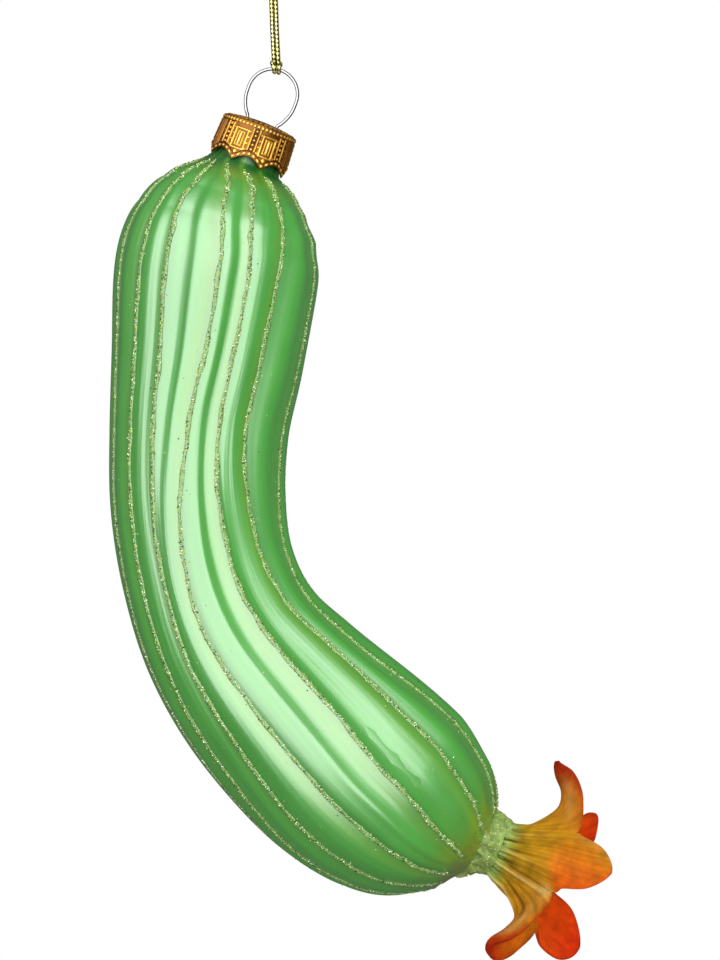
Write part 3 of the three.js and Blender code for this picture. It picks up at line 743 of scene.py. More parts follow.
def pressed_cap_metal():
    """Warm gold with a painted highlight on what stands proud, copper brown to near-black painted shade in what lies
    low and inside the cap.
    """
    material, tree, shader = new_material("pressed_gold_cap", metallic=0.62, roughness=0.36)
    colour = ramp(tree, attribute(tree, "relief"), cap_shade_to_highlight_colours)
    patches = mottled(tree, object_place(tree), colour, 330.0, 1.0, 7000.0)
    tree.links.new(patches["Color"], shader.inputs["Base Color"])
    tree.links.new(map_range(tree, patches["Patches"], 0.26, 0.5), shader.inputs["Roughness"])
    bump(tree, patches["Grain"], 0.15, 0.00005, shader)
    return material


def bright_wire():
    material, tree, shader = new_material("bright_spring_wire", metallic=1.0, roughness=0.12)
    along = node(tree, "ShaderNodeUVMap", uv_map="UVMap").outputs["UV"]
    stretch = node(tree, "ShaderNodeMapping", {"Vector": along, "Scale": (60.0, 2.0, 1.0)})
    patches = mottled(tree, stretch.outputs["Vector"], (0.34, 0.34, 0.35, 1.0), 3.0, 0.1, 20.0)
    tree.links.new(patches["Color"], shader.inputs["Base Color"])
    tree.links.new(map_range(tree, patches["Grain"], 0.06, 0.2), shader.inputs["Roughness"])
    return material


def braided_gold():
    """Metallic gold thread: a painted highlight where a thread lies on top, painted shade in the gaps between."""
    material, tree, shader = new_material("braided_gold_cord", metallic=0.75, roughness=0.38)
    colour = ramp(tree, attribute(tree, "lift"), thread_shade_to_highlight_colours)
    sparkle = use_group(tree, specks, {"Vector": object_place(tree), "Size": 4200.0, "Share": 0.25})
    shown = mix_colour(tree, maths(tree, "MULTIPLY", sparkle.outputs["Mask"], 0.6), colour, (0.04, 0.035, 0.006))
    tree.links.new(shown, shader.inputs["Base Color"])
    return material


def moulded_petal():
    """Translucent resin that glows a little in its own colour, painted light for light shining through it: olive at
    the base, amber on the tube, orange petals and red tips.
    """
    material, tree, shader = new_material(
        "translucent_blossom", roughness=0.42, subsurface_weight=0.12, subsurface_radius=(1.0, 0.35, 0.12),
        subsurface_scale=0.0018, specular_ior_level=0.03, emission_strength=0.14)
    along, red, place = attribute(tree, "along"), attribute(tree, "red"), object_place(tree)
    wander = node(tree, "ShaderNodeTexNoise", {"Vector": place, "Scale": 260.0, "Detail": 3.0})
    shift = maths(tree, "MULTIPLY", maths(tree, "SUBTRACT", wander.outputs["Fac"], 0.5), 0.12)
    share = maths(tree, "ADD", along, shift)
    colour = mix_colour(tree, red, ramp(tree, share, amber_petal_colours), ramp(tree, share, red_petal_colours))
    wrap = node(tree, "ShaderNodeCombineXYZ", {"X": attribute(tree, "around"),
                                               "Y": maths(tree, "MULTIPLY", along, 30.0)})
    threads = use_group(tree, streaking, {"Vector": wrap.outputs["Vector"], "Color": colour,
                                          "Count Around": 110.0, "Strength": map_range(tree, red, 1.0, 0.2)})
    colour = threads.outputs["Color"]
    for key, strength, tone in petal_marks:
        colour = mix_colour(tree, maths(tree, "MULTIPLY", attribute(tree, key), strength), colour, tone)
    patches = mottled(tree, place, colour, 420.0, 0.6, 2600.0)
    # The colour also goes to the emission: a painted glow
    for socket in ("Base Color", "Emission Color"):
        tree.links.new(patches["Color"], shader.inputs[socket])
    grain = maths(tree, "MULTIPLY", patches["Grain"], 0.3)
    bump(tree, maths(tree, "ADD", threads.outputs["Height"], grain), 0.8, 0.00025, shader)
    return material


def pale_glue():
    material, tree, shader = new_material(
        "pale_green_glue", roughness=0.3, specular_ior_level=0.3, subsurface_weight=0.2,
        subsurface_radius=(0.5, 0.8, 0.4), subsurface_scale=0.001)
    place = object_place(tree)
    patches = mottled(tree, place, (0.31, 0.46, 0.11, 1.0), 600.0, 0.9, 2400.0)
    grains = use_group(tree, specks, {"Vector": place, "Size": 2600.0, "Share": 0.22})
    shine = ramp(tree, grains.outputs["Tone"], glue_grain_colours)
    shown = mix_colour(tree, maths(tree, "MULTIPLY", grains.outputs["Mask"], 0.7), patches["Color"], shine)
    tree.links.new(shown, shader.inputs["Base Color"])
    bump(tree, patches["Grain"], 0.35, 0.00015, shader)
    return material


# Grains scattered over a surface

def make_scatter_tree():
    """Geometry Nodes: keep the surface, and scatter small turned flakes over it where cover allows."""
    tree = bpy.data.node_groups.new("scattered grains", "GeometryNodeTree")
    tree.interface.new_socket("Geometry", in_out="INPUT", socket_type="NodeSocketGeometry")
    for label, kind, value in (("Density", "NodeSocketFloat", 1e6), ("Grain Radius", "NodeSocketFloat", 0.0002),
                               ("Smallest", "NodeSocketFloat", 0.5), ("Largest", "NodeSocketFloat", 1.3),
                               ("Seed", "NodeSocketInt", 1), ("Keep Surface", "NodeSocketBool", True),
                               ("Surface Material", "NodeSocketMaterial", None),
                               ("Grain Material", "NodeSocketMaterial", None)):
        socket = tree.interface.new_socket(label, in_out="INPUT", socket_type=kind)
        if value is not None:
            socket.default_value = value
    tree.interface.new_socket("Geometry", in_out="OUTPUT", socket_type="NodeSocketGeometry")
    entry, leave = tree.nodes.new("NodeGroupInput"), tree.nodes.new("NodeGroupOutput")
    cover = node(tree, "GeometryNodeInputNamedAttribute", {"Name": "cover"}, data_type="FLOAT")
    density = maths(tree, "MULTIPLY", open_socket(cover.outputs, "Attribute"), entry.outputs["Density"])
    points = node(tree, "GeometryNodeDistributePointsOnFaces", {
        "Mesh": entry.outputs["Geometry"], "Density": density, "Seed": entry.outputs["Seed"]})
    flake = node(tree, "GeometryNodeMeshIcoSphere", {"Radius": entry.outputs["Grain Radius"], "Subdivisions": 1})
    turn = node(tree, "FunctionNodeRandomValue", {0: (0.0, 0.0, 0.0), 1: (6.28, 6.28, 6.28),
                                                 "Seed": entry.outputs["Seed"]}, data_type="FLOAT_VECTOR")
    size = node(tree, "FunctionNodeRandomValue", {2: entry.outputs["Smallest"], 3: entry.outputs["Largest"],
                                                 "Seed": 7}, data_type="FLOAT")
    placed = node(tree, "GeometryNodeInstanceOnPoints", {
        "Points": points.outputs["Points"], "Instance": flake.outputs["Mesh"], "Rotation": turn.outputs[0],
        "Scale": size.outputs[1]})
    tone = node(tree, "FunctionNodeRandomValue", {2: 0.0, 3: 1.0, "Seed": 23}, data_type="FLOAT")
    stored = node(tree, "GeometryNodeStoreNamedAttribute", {
        "Geometry": placed.outputs["Instances"], "Name": "tone", "Value": tone.outputs[1]},
        data_type="FLOAT", domain="INSTANCE")
    real = node(tree, "GeometryNodeRealizeInstances", {"Geometry": stored.outputs["Geometry"]})
    grains = node(tree, "GeometryNodeSetMaterial", {"Geometry": real.outputs["Geometry"],
                                                   "Material": entry.outputs["Grain Material"]})
    surface = node(tree, "GeometryNodeSetMaterial", {"Geometry": entry.outputs["Geometry"],
                                                    "Material": entry.outputs["Surface Material"]})
    kept = node(tree, "GeometryNodeSwitch", {"Switch": entry.outputs["Keep Surface"],
                                            "True": surface.outputs["Geometry"]}, input_type="GEOMETRY")
    joined = tree.nodes.new("GeometryNodeJoinGeometry")
    tree.links.new(grains.outputs["Geometry"], joined.inputs[0])
    tree.links.new(kept.outputs[0], joined.inputs[0])
    tree.links.new(joined.outputs[0], leave.inputs[0])
    return tree


def scattered_piece(name, mesh, tree, surface, grain, body, slot, replaced, **values):
    """A piece with the scatter run on it, kept as a plain mesh."""
    obj = put_in_scene(name, mesh)
    values.update(surface_material=surface, grain_material=grain)
    modifier = obj.modifiers.new("grains", "NODES")
    modifier.node_group = tree
    for item in tree.interface.items_tree:
        key = item.name.lower().replace(" ", "_")
        if item.in_out == "INPUT" and key in values:
            modifier[item.identifier] = values[key]
    obj.update_tag()
    bake_modifiers(obj)
    obj.data.name = name
    dress(obj, None, body, replaced)


# Glitter lines

def glitter_bead(line):
    """The glue of one line: a low rounded bead along the groove between two ribs, wavering a little."""
    profile = [(-0.5, -0.4), (-0.5, 0.1), (-0.3, 0.75), (0.0, 1.0), (0.3, 0.75), (0.5, 0.1), (0.5, -0.4)]
    rows, cover = [], []
    lengths = np.linspace(glitter_start, glitter_end, 190)

    def groove(s):
        section = section_at(s)
        return round_point(section, line_angle(line, s), section[3] + rib_relief(line % line_count, 0.0, s))

    for k, station in enumerate(lengths):
        middle = groove(station)
        along = groove(station + 0.02) - groove(station - 0.02)
        along /= np.linalg.norm(along)
        turn = math.radians(line_angle(line, station))
        radial = section_at(station)[2] * math.sin(turn) + np.array([0.0, -math.cos(turn), 0.0])
        across = np.cross(along, radial)
        across /= np.linalg.norm(across)
        up = np.cross(across, along)
        waver = 0.10 * math.sin(k * 0.31 + line * 1.7) + 0.07 * math.sin(k * 0.83 + line * 2.9)
        width = bead_width * (1.0 + 0.22 * math.sin(k * 0.57 + line) + 0.12 * math.sin(k * 1.37 + 2 * line))
        width *= 1.0 + 0.4 * (1 - float(smoothstep(station, 2.6, 5.0)))
        close = min(1.0, (k + 1) / 4, (len(lengths) - k) / 4)
        rows.append([middle + across * (w * width * close + waver) + up * (h * bead_height * close + 0.03)
                     for w, h in profile])
        cover.append([0.0, 0.5, 1.0, 1.0, 1.0, 0.5, 0.0])
    return ring_mesh(f"glitter_{line + 1:02d}", np.array(rows), values={"cover": np.array(cover)})


def make_glitter(tree, glue, grains):
    for line in range(line_count):
        scattered_piece(f"glitter_{line + 1:02d}", glitter_bead(line), tree, glue, grains, "glass", "glitter",
                        [f"glitter_line_{line + 1:02d}"], density=grains_per_area, grain_radius=grain_radius,
                        seed=line + 3)


def make_stray_grains(tree, grains):
    """Loose grains that stuck to the lacquer beside the lines, thickest close to them."""
    rows, cover = [], []
    for station in np.linspace(2.6, 16.9, 120):
        section = section_at(station)
        ring, amounts = [], []
        for rib in range(line_count):
            low, high = line_angle(rib, station), line_angle(rib + 1, station)
            for column in range(8):
                share = column / 8
                radius = section[3] + rib_relief(rib, share, station) + 0.02
                ring.append(round_point(section, low + (high - low) * share, radius))
                amounts.append(1.0 if column in (0, 1, 7) else 0.12)
        rows.append(ring)
        cover.append(amounts)
    mesh = ring_mesh("stray_grains", np.array(rows), values={"cover": np.array(cover)}, poles=(False, False))
    scattered_piece("stray_grains", mesh, tree, grains, grains, "glass", "glitter", [],
                    density=stray_grains_per_area, grain_radius=stray_grain_radius, seed=5, keep_surface=False)


# Cap

def cap_place(x, y, z):
    """World place of a point in the cap's own frame."""
    return (cap_top + np.multiply.outer(x, neck_across) + np.multiply.outer(z, neck_axis)
            + np.multiply.outer(y, np.array([0.0, 1.0, 0.0])))


def dome_bump(distance, radius):
    return np.sqrt(np.clip(1 - (distance / radius) ** 2, 0, 1))


def off_bead(theta, count):
    """Distance round the cap, in degrees, to the nearest of count beads."""
    step = theta / 360 * count
    return (step - np.round(step)) * 360 / count


def cap_emboss(theta, depth, edge):
    """Pressed relief of the skirt in millimetres: theta in degrees, depth below the top, edge is the skirt's end."""
    around = cap_top_radius * math.pi / 180
    s = ((theta + panel_turn / 2) % panel_turn - panel_turn / 2) * around
    lined = np.isin(np.floor(theta / panel_turn).astype(int) % 8, (1, 2, 5, 6))
    inside = smoothstep(depth, 0.75, 0.95) * (1 - smoothstep(depth, edge - 1.1, edge - 0.85))
    relief = -0.07 * ((np.abs(s) < 0.42) * inside)
    row = (depth - 1.25) / bead_pitch
    offset = (row - np.round(row)) * bead_pitch
    relief += 0.20 * dome_bump(np.hypot(s, offset), 0.31) * inside
    relief += 0.11 * dome_bump(np.abs(np.abs(s) - 0.62), 0.17) * inside
    p = 2.72 - np.abs(s)
    half_wide, low, high = 1.25, 1.6, 5.2
    frame_distance = np.maximum(np.abs(p) - half_wide, np.maximum(low - depth, depth - high))
    rectangle = dome_bump(np.abs(frame_distance), 0.2)
    inner_distance = np.maximum(np.abs(p) - 0.62, np.maximum(low + 0.55 - depth, depth - high + 0.55))
    second = dome_bump(np.abs(inner_distance), 0.16)
    bar = dome_bump(np.hypot(np.minimum(np.abs(p), 9), np.clip(np.abs(depth - 3.4) - 0.9, 0, 9)), 0.3)
    boxed = np.maximum(rectangle * 0.13, np.maximum(second * 0.10, bar * 0.16))
    blobs = dome_bump(np.hypot(p, depth - 5.85), 0.42) * 0.15
    squares = dome_bump(np.maximum(np.abs(p - 1.62), np.abs((depth - 2.2) % 1.1 - 0.55)), 0.2) * 0.12 * inside
    stripes = 0.07 * np.cos(2 * math.pi * p / 0.52) * (np.abs(p) < 1.35) * inside
    relief += np.where(lined, stripes + squares * 0.5, boxed + blobs + squares * (p > 1.4))
    relief += 0.14 * dome_bump(np.hypot(off_bead(theta, rim_beads) * around, depth - 0.42), 0.31)
    relief += 0.15 * dome_bump(np.hypot(off_bead(theta, hem_beads) * around, depth - (edge - 0.45)), 0.30)
    relief -= 0.05 * (np.abs(depth - (edge - 0.9)) < 0.1)
    return relief


def skirt_edge(theta):
    """Length of the scalloped skirt at an angle."""
    arc = np.abs(np.sin(np.radians(theta + 180 / tab_count) * tab_count / 2))
    return cap_skirt - tab_depth * arc


def make_cap(material):
    theta = np.arange(cap_columns) * 360 / cap_columns
    rows, reliefs = [], []

    def add_row(radius, height, relief):
        radius = np.broadcast_to(radius, theta.shape)
        height = np.broadcast_to(height, theta.shape)
        turn = np.radians(theta)
        rows.append(cap_place(radius * np.sin(turn), -radius * np.cos(turn), height))
        reliefs.append(np.broadcast_to(np.asarray(relief, float), theta.shape))

    edge = skirt_edge(theta)
    for share in np.linspace(0.04, 0.97, 44):
        step = theta / 360 * dome_beads
        pressed = 0.16 * dome_bump(np.hypot(step - np.round(step), (share - 0.88) * cap_top_radius), 0.33)
        pressed += 0.10 * dome_bump(np.abs(share - 0.74) * cap_top_radius, 0.25)
        pressed += 0.06 * np.cos(np.radians(theta * 24)) * (0.45 < share < 0.68)
        add_row(cap_top_radius * share, cap_dome * (1 - share ** 2) + pressed,
                np.clip(0.42 + pressed * relief_gain, 0, 1))
    add_row(cap_top_radius * 0.99, 0.0, 0.6)
    for row in range(cap_rows + 1):
        share = 0.012 + 0.988 * row / cap_rows
        depth = edge * share
        relief = cap_emboss(theta, depth, edge)
        slope = cap_flare * depth / cap_skirt
        add_row(cap_top_radius + slope + 1.25 * relief - 0.08, -depth, np.clip(0.36 + relief * relief_gain, 0, 1))
    # The sheet's edge and the cap's inside get low values, which paint them in shade
    for share, back in ((1.004, 0.16), (1.0, cap_sheet)):
        add_row(cap_top_radius + cap_flare * edge / cap_skirt - back, -edge * share, 0.2)
    for share in (0.75, 0.5, 0.25, 0.05):
        add_row(cap_top_radius + cap_flare * share * edge / cap_skirt - cap_sheet, -edge * share, 0.15)
    for share in np.linspace(0.95, 0.08, 8):
        add_row((cap_top_radius - cap_sheet) * share, cap_dome * (1 - share ** 2) - cap_sheet, 0.15)
    mesh = ring_mesh("pressed_cap", np.array(rows), values={"relief": np.array(reliefs)})
    cap = put_in_scene("pressed_cap", mesh)
    drill_cap(cap)
    dress(cap, material, "cap", ["metal_cap"])


def drill_cap(obj):
    """Cut the two holes that the wire's legs pass through."""
    for side in (-1, 1):
        path = np.linspace(*[cap_place(side * leg_away, 0.0, z) for z in (-1.2, 2.0)], 4)
        drill = put_in_scene("drill", ring_mesh("drill", sweep(path, 0.55, 24)))
        cut = obj.modifiers.new("hole", "BOOLEAN")
        cut.operation, cut.object, cut.solver = "DIFFERENCE", drill, "EXACT"
        bake_modifiers(obj)
        bpy.data.objects.remove(drill)


# Hanger wire

def make_wire(material):
    left = [(-x, z) for x, z in leg_route]
    arc = [(ring_radius * math.sin(math.radians(a)), ring_height + ring_radius * math.cos(math.radians(a)))
           for a in np.arange(-90, 90.1, 11.25)]
    right = [(x, z) for x, z in reversed(leg_route)]
    route = np.array([cap_place(x, 0.0, z) for x, z in [*left, *arc, *right]])
    path, lengths = even_path(route, 0.2)
    radius = np.full((len(path), 24), wire_radius)
    radius[[0, -1]] *= 0.7
    mesh = ring_mesh("spring_wire", sweep(path, radius, 24), lengths=lengths)
    add_piece("spring_wire", mesh, material, "hanger", ["hanger_wire"])


# Cord

def cord_route():
    """Down the left strand, round the ring as a hitch, and up the right strand."""
    slope = math.tan(math.radians(cord_lean))
    turn = math.radians(hitch_angle)
    ring_centre = cap_top + neck_axis * ring_height
    wire = ring_centre + ring_radius * np.array([math.sin(turn), 0.0, math.cos(turn)])

    def half(side):
        down = [(side * away - slope * z, 0.0, z) for away, z in strand_route]
        loop = [(wire[0] + side * a * math.cos(turn) - slope * h, y, wire[2] - side * a * math.sin(turn) + h)
                for a, y, h in hitch_route]
        return down, loop

    down, loop = half(-1)
    up_down, up_loop = half(1)
    return np.array([*down, *loop, *list(reversed(up_loop))[1:], *reversed(up_down)])


def braid(path, lengths, radius):
    """Rings of a braided strand, and how high each point's thread lies."""
    angle = np.arange(braid_sides) * 2 * math.pi / braid_sides
    along = np.asarray(lengths)[:, None] * 2 * math.pi / braid_pitch
    weave = np.cos(2 * angle[None] + along) * np.cos(2 * angle[None] - along)
    lift = 0.5 + 0.5 * np.sign(weave) * np.abs(weave) ** 0.6
    return sweep(path, radius * (0.84 + 0.16 * lift), braid_sides), lift


def make_cord(material):
    path, lengths = even_path(cord_route(), 0.09)
    grid, lift = braid(path, lengths, strand_radius)
    mesh = ring_mesh("gold_cord", grid, lengths=lengths, values={"lift": lift})
    obj = put_in_scene("gold_cord", mesh)
    mesh.materials.append(material)
    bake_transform(obj, "cord", "hitch", start=(0, 0, -0.0148), end=(0, 0, -0.0164))
    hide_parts("cord_strand_left", "cord_strand_right", "cord_hitch")
    return obj, path, float(lengths[-1])


def make_knot(material):
    """An overhand knot in both ends of the cord, with two cut tails."""
    t = np.linspace(0, 2 * math.pi, 90)
    loop = np.stack([0.62 * (np.sin(t) + 1.2 * np.sin(2 * t)) * 0.72, 0.5 * -np.sin(3 * t),
                     2.0 + 0.62 * (np.cos(t) - 1.2 * np.cos(2 * t)) * 0.6], axis=1)
    grids = []
    for path, size in ((loop, knot_strand), *knot_paths):
        fine, lengths = even_path(path, 0.1)
        grids.append((*braid(fine, lengths, size), lengths))
    meshes = [ring_mesh("knot", grid, lengths=lengths, values={"lift": lift}) for grid, lift, lengths in grids]
    return add_piece("tied_knot", joined_mesh("tied_knot", meshes), material, "cord", ["cord_knot"])


def joined_mesh(name, meshes):
    """One mesh from several that have the same attributes."""
    points, faces, uvs, values, start = [], [], [], {}, 0
    for mesh in meshes:
        co = np.zeros(len(mesh.vertices) * 3, np.float32)
        mesh.vertices.foreach_get("co", co)
        points.append(co.reshape(-1, 3))
        faces += [tuple(start + v for v in p.vertices) for p in mesh.polygons]
        layer = mesh.uv_layers[0].data
        uvs += [tuple(tuple(layer[i].uv) for i in p.loop_indices) for p in mesh.polygons]
        for stored in mesh.attributes:
            if stored.data_type == "FLOAT" and stored.domain == "POINT":
                found = np.zeros(len(mesh.vertices), np.float32)
                stored.data.foreach_get("value", found)
                values.setdefault(stored.name, []).append(found)
        start += len(mesh.vertices)
    merged = finish_mesh(name, np.vstack(points) / MM, faces, uvs,
                         {key: np.concatenate(found) for key, found in values.items()})
    for mesh in meshes:
        bpy.data.meshes.remove(mesh)
    return merged


# Blossom

dip = math.radians(blossom_dip)
flower_along = np.array([math.cos(dip), 0.0, -math.sin(dip)])
flower_up = np.array([math.sin(dip), 0.0, math.cos(dip)])
flower_back = np.array([0.0, 1.0, 0.0])
flower_place = end_section[0] + end_section[1] * blossom_along + end_section[2] * blossom_offset


def flower_point(along, radius, angle, aside=0.0):
    turn = math.radians(angle)
    return np.array([along, -radius * math.cos(turn) + aside * math.sin(turn),
                     radius * math.sin(turn) + aside * math.cos(turn)])


def to_world(points):
    points = np.asarray(points, float)
    return (flower_place + points[..., :1] * flower_along + points[..., 1:2] * flower_back
            + points[..., 2:3] * flower_up)


def petal_sheet(petal, before, after, across, t):
    """The untrimmed sheet of a petal: across from one cleft (-1) to the next (1), t along tube and petal."""
    turn = before + (after - before) * (across + 1) / 2
    points = [flower_point(along, radius, turn) for along, radius in tube_profile]
    root = flower_point(*petal["spine"][0], petal["angle"])
    low, high = flower_point(0, cleft_radius, before), flower_point(0, cleft_radius, after)
    points.append(root + (high - low) * across / 2 + ((high + low) / 2 - root) * across * across)
    for k in range(1, len(petal["spine"])):
        along, radius = petal["spine"][k]
        step = np.array([along - petal["spine"][k - 1][0], radius - petal["spine"][k - 1][1]])
        step /= np.linalg.norm(step)
        cup = petal["cup"][k - 1] * across * across
        points.append(flower_point(along + step[1] * cup, radius - step[0] * cup,
                                   petal["angle"], petal["half"][k - 1] * across))
    return smooth_curve(points, t)


def petal_column(petal, before, after, across):
    """One column of a petal, narrowed towards a rounded tip."""
    mouth = len(tube_profile)
    tube = petal_sheet(petal, before, after, across, np.linspace(0, mouth, mouth * petal_rows + 1))
    free = []
    for u in free_shares:
        past = max(0.0, (u - petal["tip_from"]) / (1 - petal["tip_from"]))
        narrow = max(tip_least, math.sqrt(max(0.0, 1 - past ** 2.4)))
        free.append(petal_sheet(petal, before, after, across * narrow, mouth + (len(petal["spine"]) - 1) * u))
    return np.vstack([tube, free])


def share_edges(tables, rows):
    """Make neighbouring petals agree along the tube, where they are one sheet."""
    for k, table in enumerate(tables):
        following = tables[(k + 1) % len(tables)]
        shared = (table[-1][:rows] + following[0][:rows]) / 2
        table[-1][:rows] = shared
        following[0][:rows] = shared


def petal_normals(grids, tube_rows):
    normals = []
    for grid in grids:
        normal = np.cross(np.gradient(grid, axis=1), np.gradient(grid, axis=0))
        normal /= np.linalg.norm(normal, axis=2)[..., None]
        normal[:, -4:] = normal[:, -5:-4]
        normals.append(normal)
    share_edges(normals, tube_rows)
    for normal in normals:
        for edge in (0, -1):
            normal[edge][:tube_rows] /= np.linalg.norm(normal[edge][:tube_rows], axis=1)[:, None]
    return normals


def petal_surface(petal, grid, normal, share_along, tube_rows):
    """Outer and inner points of one petal with its folds, and what its material reads at each."""
    front, swollen = petal["name"] == "front", petal["name"] in ("top", "lower_front")
    whole = np.ones(grid.shape[:2])
    angle = np.degrees(np.arctan2(grid[..., 2], -grid[..., 1]))
    folds = sum(size * np.sin(np.radians(angle) * count + start + move * share_along[None])
                for size, count, start, move in petal_folds)
    low_side = 0.55 + 0.45 * np.cos(np.radians(angle + 50))
    reach = 0.58 + 0.24 * np.exp(-((angle + 62) / 38) ** 2)
    depth = (0.24 * low_side * smoothstep(share_along, 0.02, 0.1)
             * (1 - np.clip((share_along - reach + 0.28) / 0.28, 0, 1)))
    columns = np.linspace(-1, 1, petal_columns + 1)[:, None]
    free = smoothstep(share_along, 0.60, 0.70)[None]
    veins = 0.03 * np.cos(columns * 14) * free * (1 - np.abs(columns) ** 4)
    seam = np.exp(-((share_along - 0.655) / 0.007) ** 2)[None] * (1 - np.abs(columns) ** 6) * front
    seam = seam * (0.55 + 0.45 * np.sin(columns * 13 + 1))
    bulge = np.exp(-((angle + 20) / 6) ** 2 - ((share_along - 0.615) / 0.022) ** 2)
    tip = smoothstep(share_along, 0.70, 0.93) * np.sqrt(1 - np.clip((share_along - 0.93) / 0.07, 0, 1) ** 2)
    tip = (0.5 * tip * swollen)[None] * (1 - 0.6 * columns ** 2)
    outer = grid + normal * (folds * depth + 0.12 * seam + 0.45 * bulge + veins + tip)[..., None]
    edge = 0.55 + 0.45 * np.clip(1 - np.abs(columns) ** 6, 0, 1) * np.ones((1, len(share_along)))
    edge[:, :tube_rows] = 1.0
    inner = grid - normal * (blossom_wall * edge + tip)[..., None]

    strength = np.clip(depth / 0.14, 0, 1)
    # A painted highlight along the fold of the swollen petals
    fold_highlight = (np.exp(-((np.abs(columns) - 0.62) / 0.20) ** 2) * smoothstep(share_along, 0.58, 0.72)[None]
             * (1 - smoothstep(share_along, 0.78, 0.92))[None]) * swollen
    if petal["name"] == "top":
        fold_highlight = fold_highlight * 0.8
    pale_edge = 0.6 * front * free * np.clip(columns, 0, 1) ** 5
    rim = np.maximum(np.abs(columns) ** 14 * free, smoothstep(share_along, 0.965, 1.0)[None])
    ripe = np.minimum(share_along, 0.72) if front else share_along
    turned_red = smoothstep(share_along, *petal["turns_red"])[None]
    marks = []
    for back in (0, 1):
        amount = np.clip(petal["red"] - 0.5 * columns * front + 0.35 * back, 0, 1)
        marks.append({
            "along": whole * ripe[None], "around": whole * angle / 360 + 0.5,
            "red": whole * amount * turned_red,
            # pale: the painted fold highlight, with the front petal's paler seam and edge
            "pale": whole * np.clip(fold_highlight + 0.4 * seam + pale_edge, 0, 1) * (1 - back),
            # Painted shade in the hollows of the folds
            "crease": np.clip(-folds - 0.45, 0, 1) * strength * (1 - back),
            # Painted highlight on the ridges of the folds and on the bulge
            "shine": np.clip(np.clip(folds - 0.9, 0, 1) * strength + 0.9 * bulge, 0, 1) * (1 - back),
            "rim": whole * rim * (0.3 if front else 1.0)})
    return outer, inner, marks


def petal_faces(start, rows, mouth_row):
    """Faces of one petal's outer and inner sheets and of its free edges."""
    size, far, last = (petal_columns + 1) * rows, petal_columns, rows - 1

    def at(column, row, side):
        return start + side * size + column * rows + row

    faces = []
    for c in range(petal_columns):
        for r in range(last):
            faces.append((at(c, r, 0), at(c + 1, r, 0), at(c + 1, r + 1, 0), at(c, r + 1, 0)))
            faces.append((at(c + 1, r, 1), at(c, r, 1), at(c, r + 1, 1), at(c + 1, r + 1, 1)))
        faces.append((at(c + 1, 0, 0), at(c, 0, 0), at(c, 0, 1), at(c + 1, 0, 1)))
        faces.append((at(c, last, 0), at(c + 1, last, 0), at(c + 1, last, 1), at(c, last, 1)))
    for r in range(mouth_row, last):
        faces.append((at(0, r, 0), at(0, r + 1, 0), at(0, r + 1, 1), at(0, r, 1)))
        faces.append((at(far, r + 1, 0), at(far, r, 0), at(far, r, 1), at(far, r + 1, 1)))
    return faces


def make_blossom(material):
    """One moulded sheet: the five petals share the tube up to the mouth and part above it."""
    mouth_row = len(tube_profile) * petal_rows
    shares = np.linspace(-1, 1, petal_columns + 1)
    clefts = [*cleft_angles, cleft_angles[0] + 360]
    grids = [np.array([petal_column(petal, clefts[k], clefts[k + 1], share) for share in shares])
             for k, petal in enumerate(petals)]
    share_edges(grids, mouth_row + 1)
    normals = petal_normals(grids, mouth_row + 1)
    rows = grids[0].shape[1]
    mouth_share = mouth_row / (rows - 1)
    share_along = np.concatenate([np.arange(mouth_row + 1) / (rows - 1),
                                  mouth_share + (1 - mouth_share) * free_shares])
    corners, faces, values = [], [], {}
    for petal, grid, normal in zip(petals, grids, normals):
        outer, inner, marks = petal_surface(petal, grid, normal, share_along, mouth_row + 1)
        faces += petal_faces(len(corners), rows, mouth_row)
        for sheet, found in zip((outer, inner), marks):
            corners += list(to_world(sheet.reshape(-1, 3)))
            for key, value in found.items():
                values.setdefault(key, []).extend(np.asarray(value, float).reshape(-1))
    blossom = put_in_scene("moulded_blossom", finish_mesh("moulded_blossom", corners, faces, None, values))
    weld = blossom.modifiers.new("weld", "WELD")
    weld.merge_threshold = 0.00002
    bake_modifiers(blossom)
    dress(blossom, material, "glass", ["blossom"])


def make_collar(tree, material, grains):
    """Glue that was brushed round the joint: uneven, with a drop that ran out."""
    angle = np.arange(120) * 3.0
    profile = smooth_curve(collar_profile, np.linspace(0, len(collar_profile) - 1, collar_rings))
    rows, cover = [], []
    for k, (radius, along) in enumerate([*profile, *collar_inside]):
        outside = 1.0 if k < collar_rings else 0.0
        part = min(k, collar_rings - 1) / (collar_rings - 1)
        swell = math.sin(math.pi * part) * outside
        lumps = swell * waves(angle, collar_lumps, k)
        drift = (0.5 + 0.5 * part) * (0.25 + swell) * outside * waves(angle, collar_drifts)
        ring = []
        for a, lump, move in zip(angle, lumps, drift):
            point = flower_point(along + move, radius + lump - 0.2 * swell, a)
            point[0] += collar_slant * point[2]
            ring.append(to_world(point))
        rows.append(ring)
        cover.append([outside] * len(angle))
    rows.append(rows[0])
    cover.append(cover[0])
    ring = ring_mesh("collar", np.array(rows), values={"cover": np.array(cover)}, poles=(False, False))
    (a0, z0, r0), (a1, z1, r1) = glue_drop
    t = np.linspace(0, 1, 14)
    path = np.stack([a0 - r0 + (a1 - a0 + r0) * t, 0 * t, z0 + (z1 - z0) * t], axis=1)
    size = np.sqrt(np.clip(1 - (1 - np.minimum(t * 2.4, 1)) ** 2, 0.02, 1)) * (r0 + (r1 - r0) * t)
    drop = ring_mesh("drop", sweep(to_world(path), np.repeat(size[:, None], 20, axis=1), 20),
                     values={"cover": np.ones((len(t), 20))})
    scattered_piece("glue_collar", joined_mesh("glue_collar", [ring, drop]), tree, material, grains, "glass", "glue",
                    ["blossom_glue_collar"], density=collar_grains_per_area, grain_radius=collar_grain_radius,
                    seed=31)


# Camera, stage and light

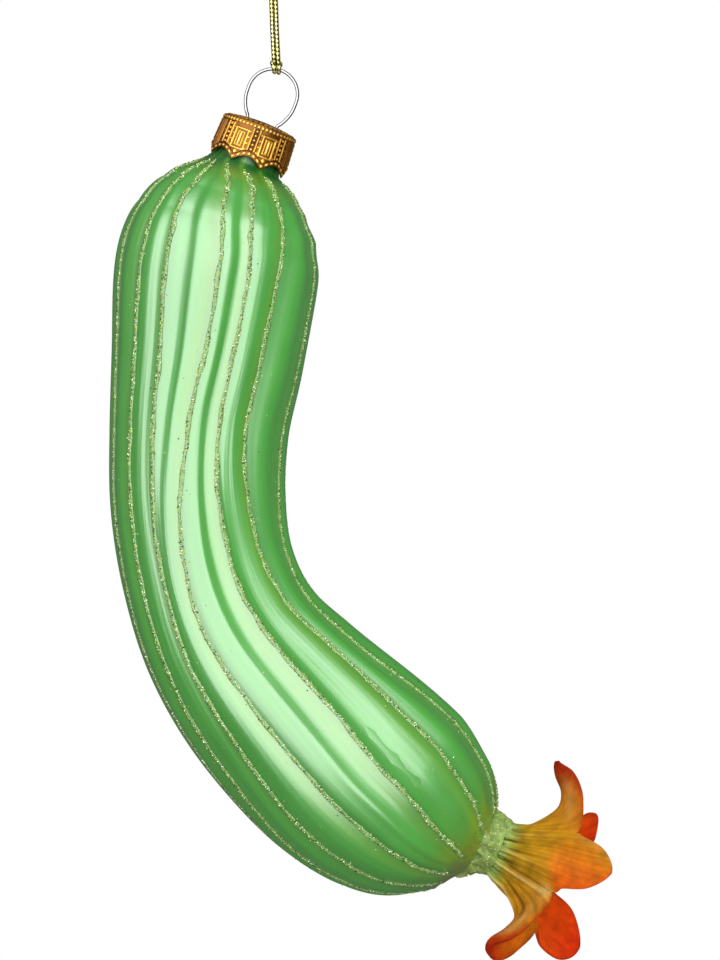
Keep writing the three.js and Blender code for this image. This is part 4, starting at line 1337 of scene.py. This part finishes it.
def make_camera():
    data = bpy.data.cameras.new("camera")
    data.lens, data.sensor_width = camera_lens, sensor_side
    data.clip_start, data.clip_end = 0.01, 50.0
    camera = put_in_scene("camera", data)
    distance = camera_lens * view_height * MM / sensor_side
    camera.location = (view_middle[0] * MM, -distance, view_middle[1] * MM)
    camera.rotation_euler = (math.radians(90), 0.0, 0.0)
    bpy.context.scene.camera = camera


def add_lamp(name, place, target, size, power, unlit):
    data = bpy.data.lights.new(name, "AREA")
    data.shape, data.size, data.size_y = "RECTANGLE", *size
    data.energy = power
    lamp = put_in_scene(name, data)
    lamp.location = place
    direction = np.array(target) - np.array(place)
    lamp.rotation_euler = Vector(direction).to_track_quat("-Z", "Y").to_euler()
    lamp.visible_camera = False
    setattr(lamp, unlit, False)


def stage_sheet(name, corners, material):
    mesh = bpy.data.meshes.new(name)
    mesh.from_pydata(corners, [], [(0, 1, 2, 3)])
    mesh.materials.append(material)
    sheet = put_in_scene(name, mesh)
    return sheet


def make_stage():
    pale, _, _ = new_material("pale_floor", base_color=(0.85, 0.85, 0.85), roughness=0.9)
    dark, _, _ = new_material("dark_card", base_color=(0.015, 0.015, 0.015), roughness=0.9)
    floor = stage_sheet("floor", [(x * floor_reach, y * floor_reach, floor_height)
                                  for x, y in ((-1, -1), (1, -1), (1, 1), (-1, 1))], pale)
    floor.visible_glossy = False
    for name, direction, wide in cards:
        turn = math.radians(direction)
        place = card_distance * np.array([math.sin(turn), -math.cos(turn)])
        half = wide / 2 * np.array([math.cos(turn), math.sin(turn)])
        (ax, ay), (bx, by) = place - half, place + half
        low, high = -card_half_height, card_half_height
        card = stage_sheet(name, [(ax, ay, low), (bx, by, low), (bx, by, high), (ax, ay, high)], dark)
        card.visible_camera = card.visible_diffuse = False
    for lamp in lamps:
        add_lamp(*lamp)


def make_world():
    """White behind the object; dimmer where it lights the object, and dimmest in its gloss."""
    world = bpy.data.worlds.new("studio")
    bpy.context.scene.world = world
    world.use_nodes = True
    tree = world.node_tree
    background = next(n for n in tree.nodes if n.type == "BACKGROUND")
    rays = tree.nodes.new("ShaderNodeLightPath")
    seen = maths(tree, "MAXIMUM", rays.outputs["Is Camera Ray"], rays.outputs["Is Transmission Ray"])
    others = map_range(tree, rays.outputs["Is Glossy Ray"], world_level, world_in_gloss)
    tree.links.new(maths(tree, "MAXIMUM", seen, others), background.inputs["Strength"])
    background.inputs["Color"].default_value = (1.0, 1.0, 1.0, 1.0)
    bpy.context.scene.view_settings.view_transform = "Standard"


make_camera()
make_stage()
make_world()

gold_thread = braided_gold()
cord, cord_path, cord_length = make_cord(gold_thread)
knot = make_knot(gold_thread)

make_glass(lacquered_glass())
grain_tree = make_scatter_tree()
glue, grain = clear_glue(), glitter_grains()
make_glitter(grain_tree, glue, grain)
make_stray_grains(grain_tree, grain)
make_cap(pressed_cap_metal())
make_wire(bright_wire())
make_blossom(moulded_petal())
make_collar(grain_tree, pale_glue(), grain)
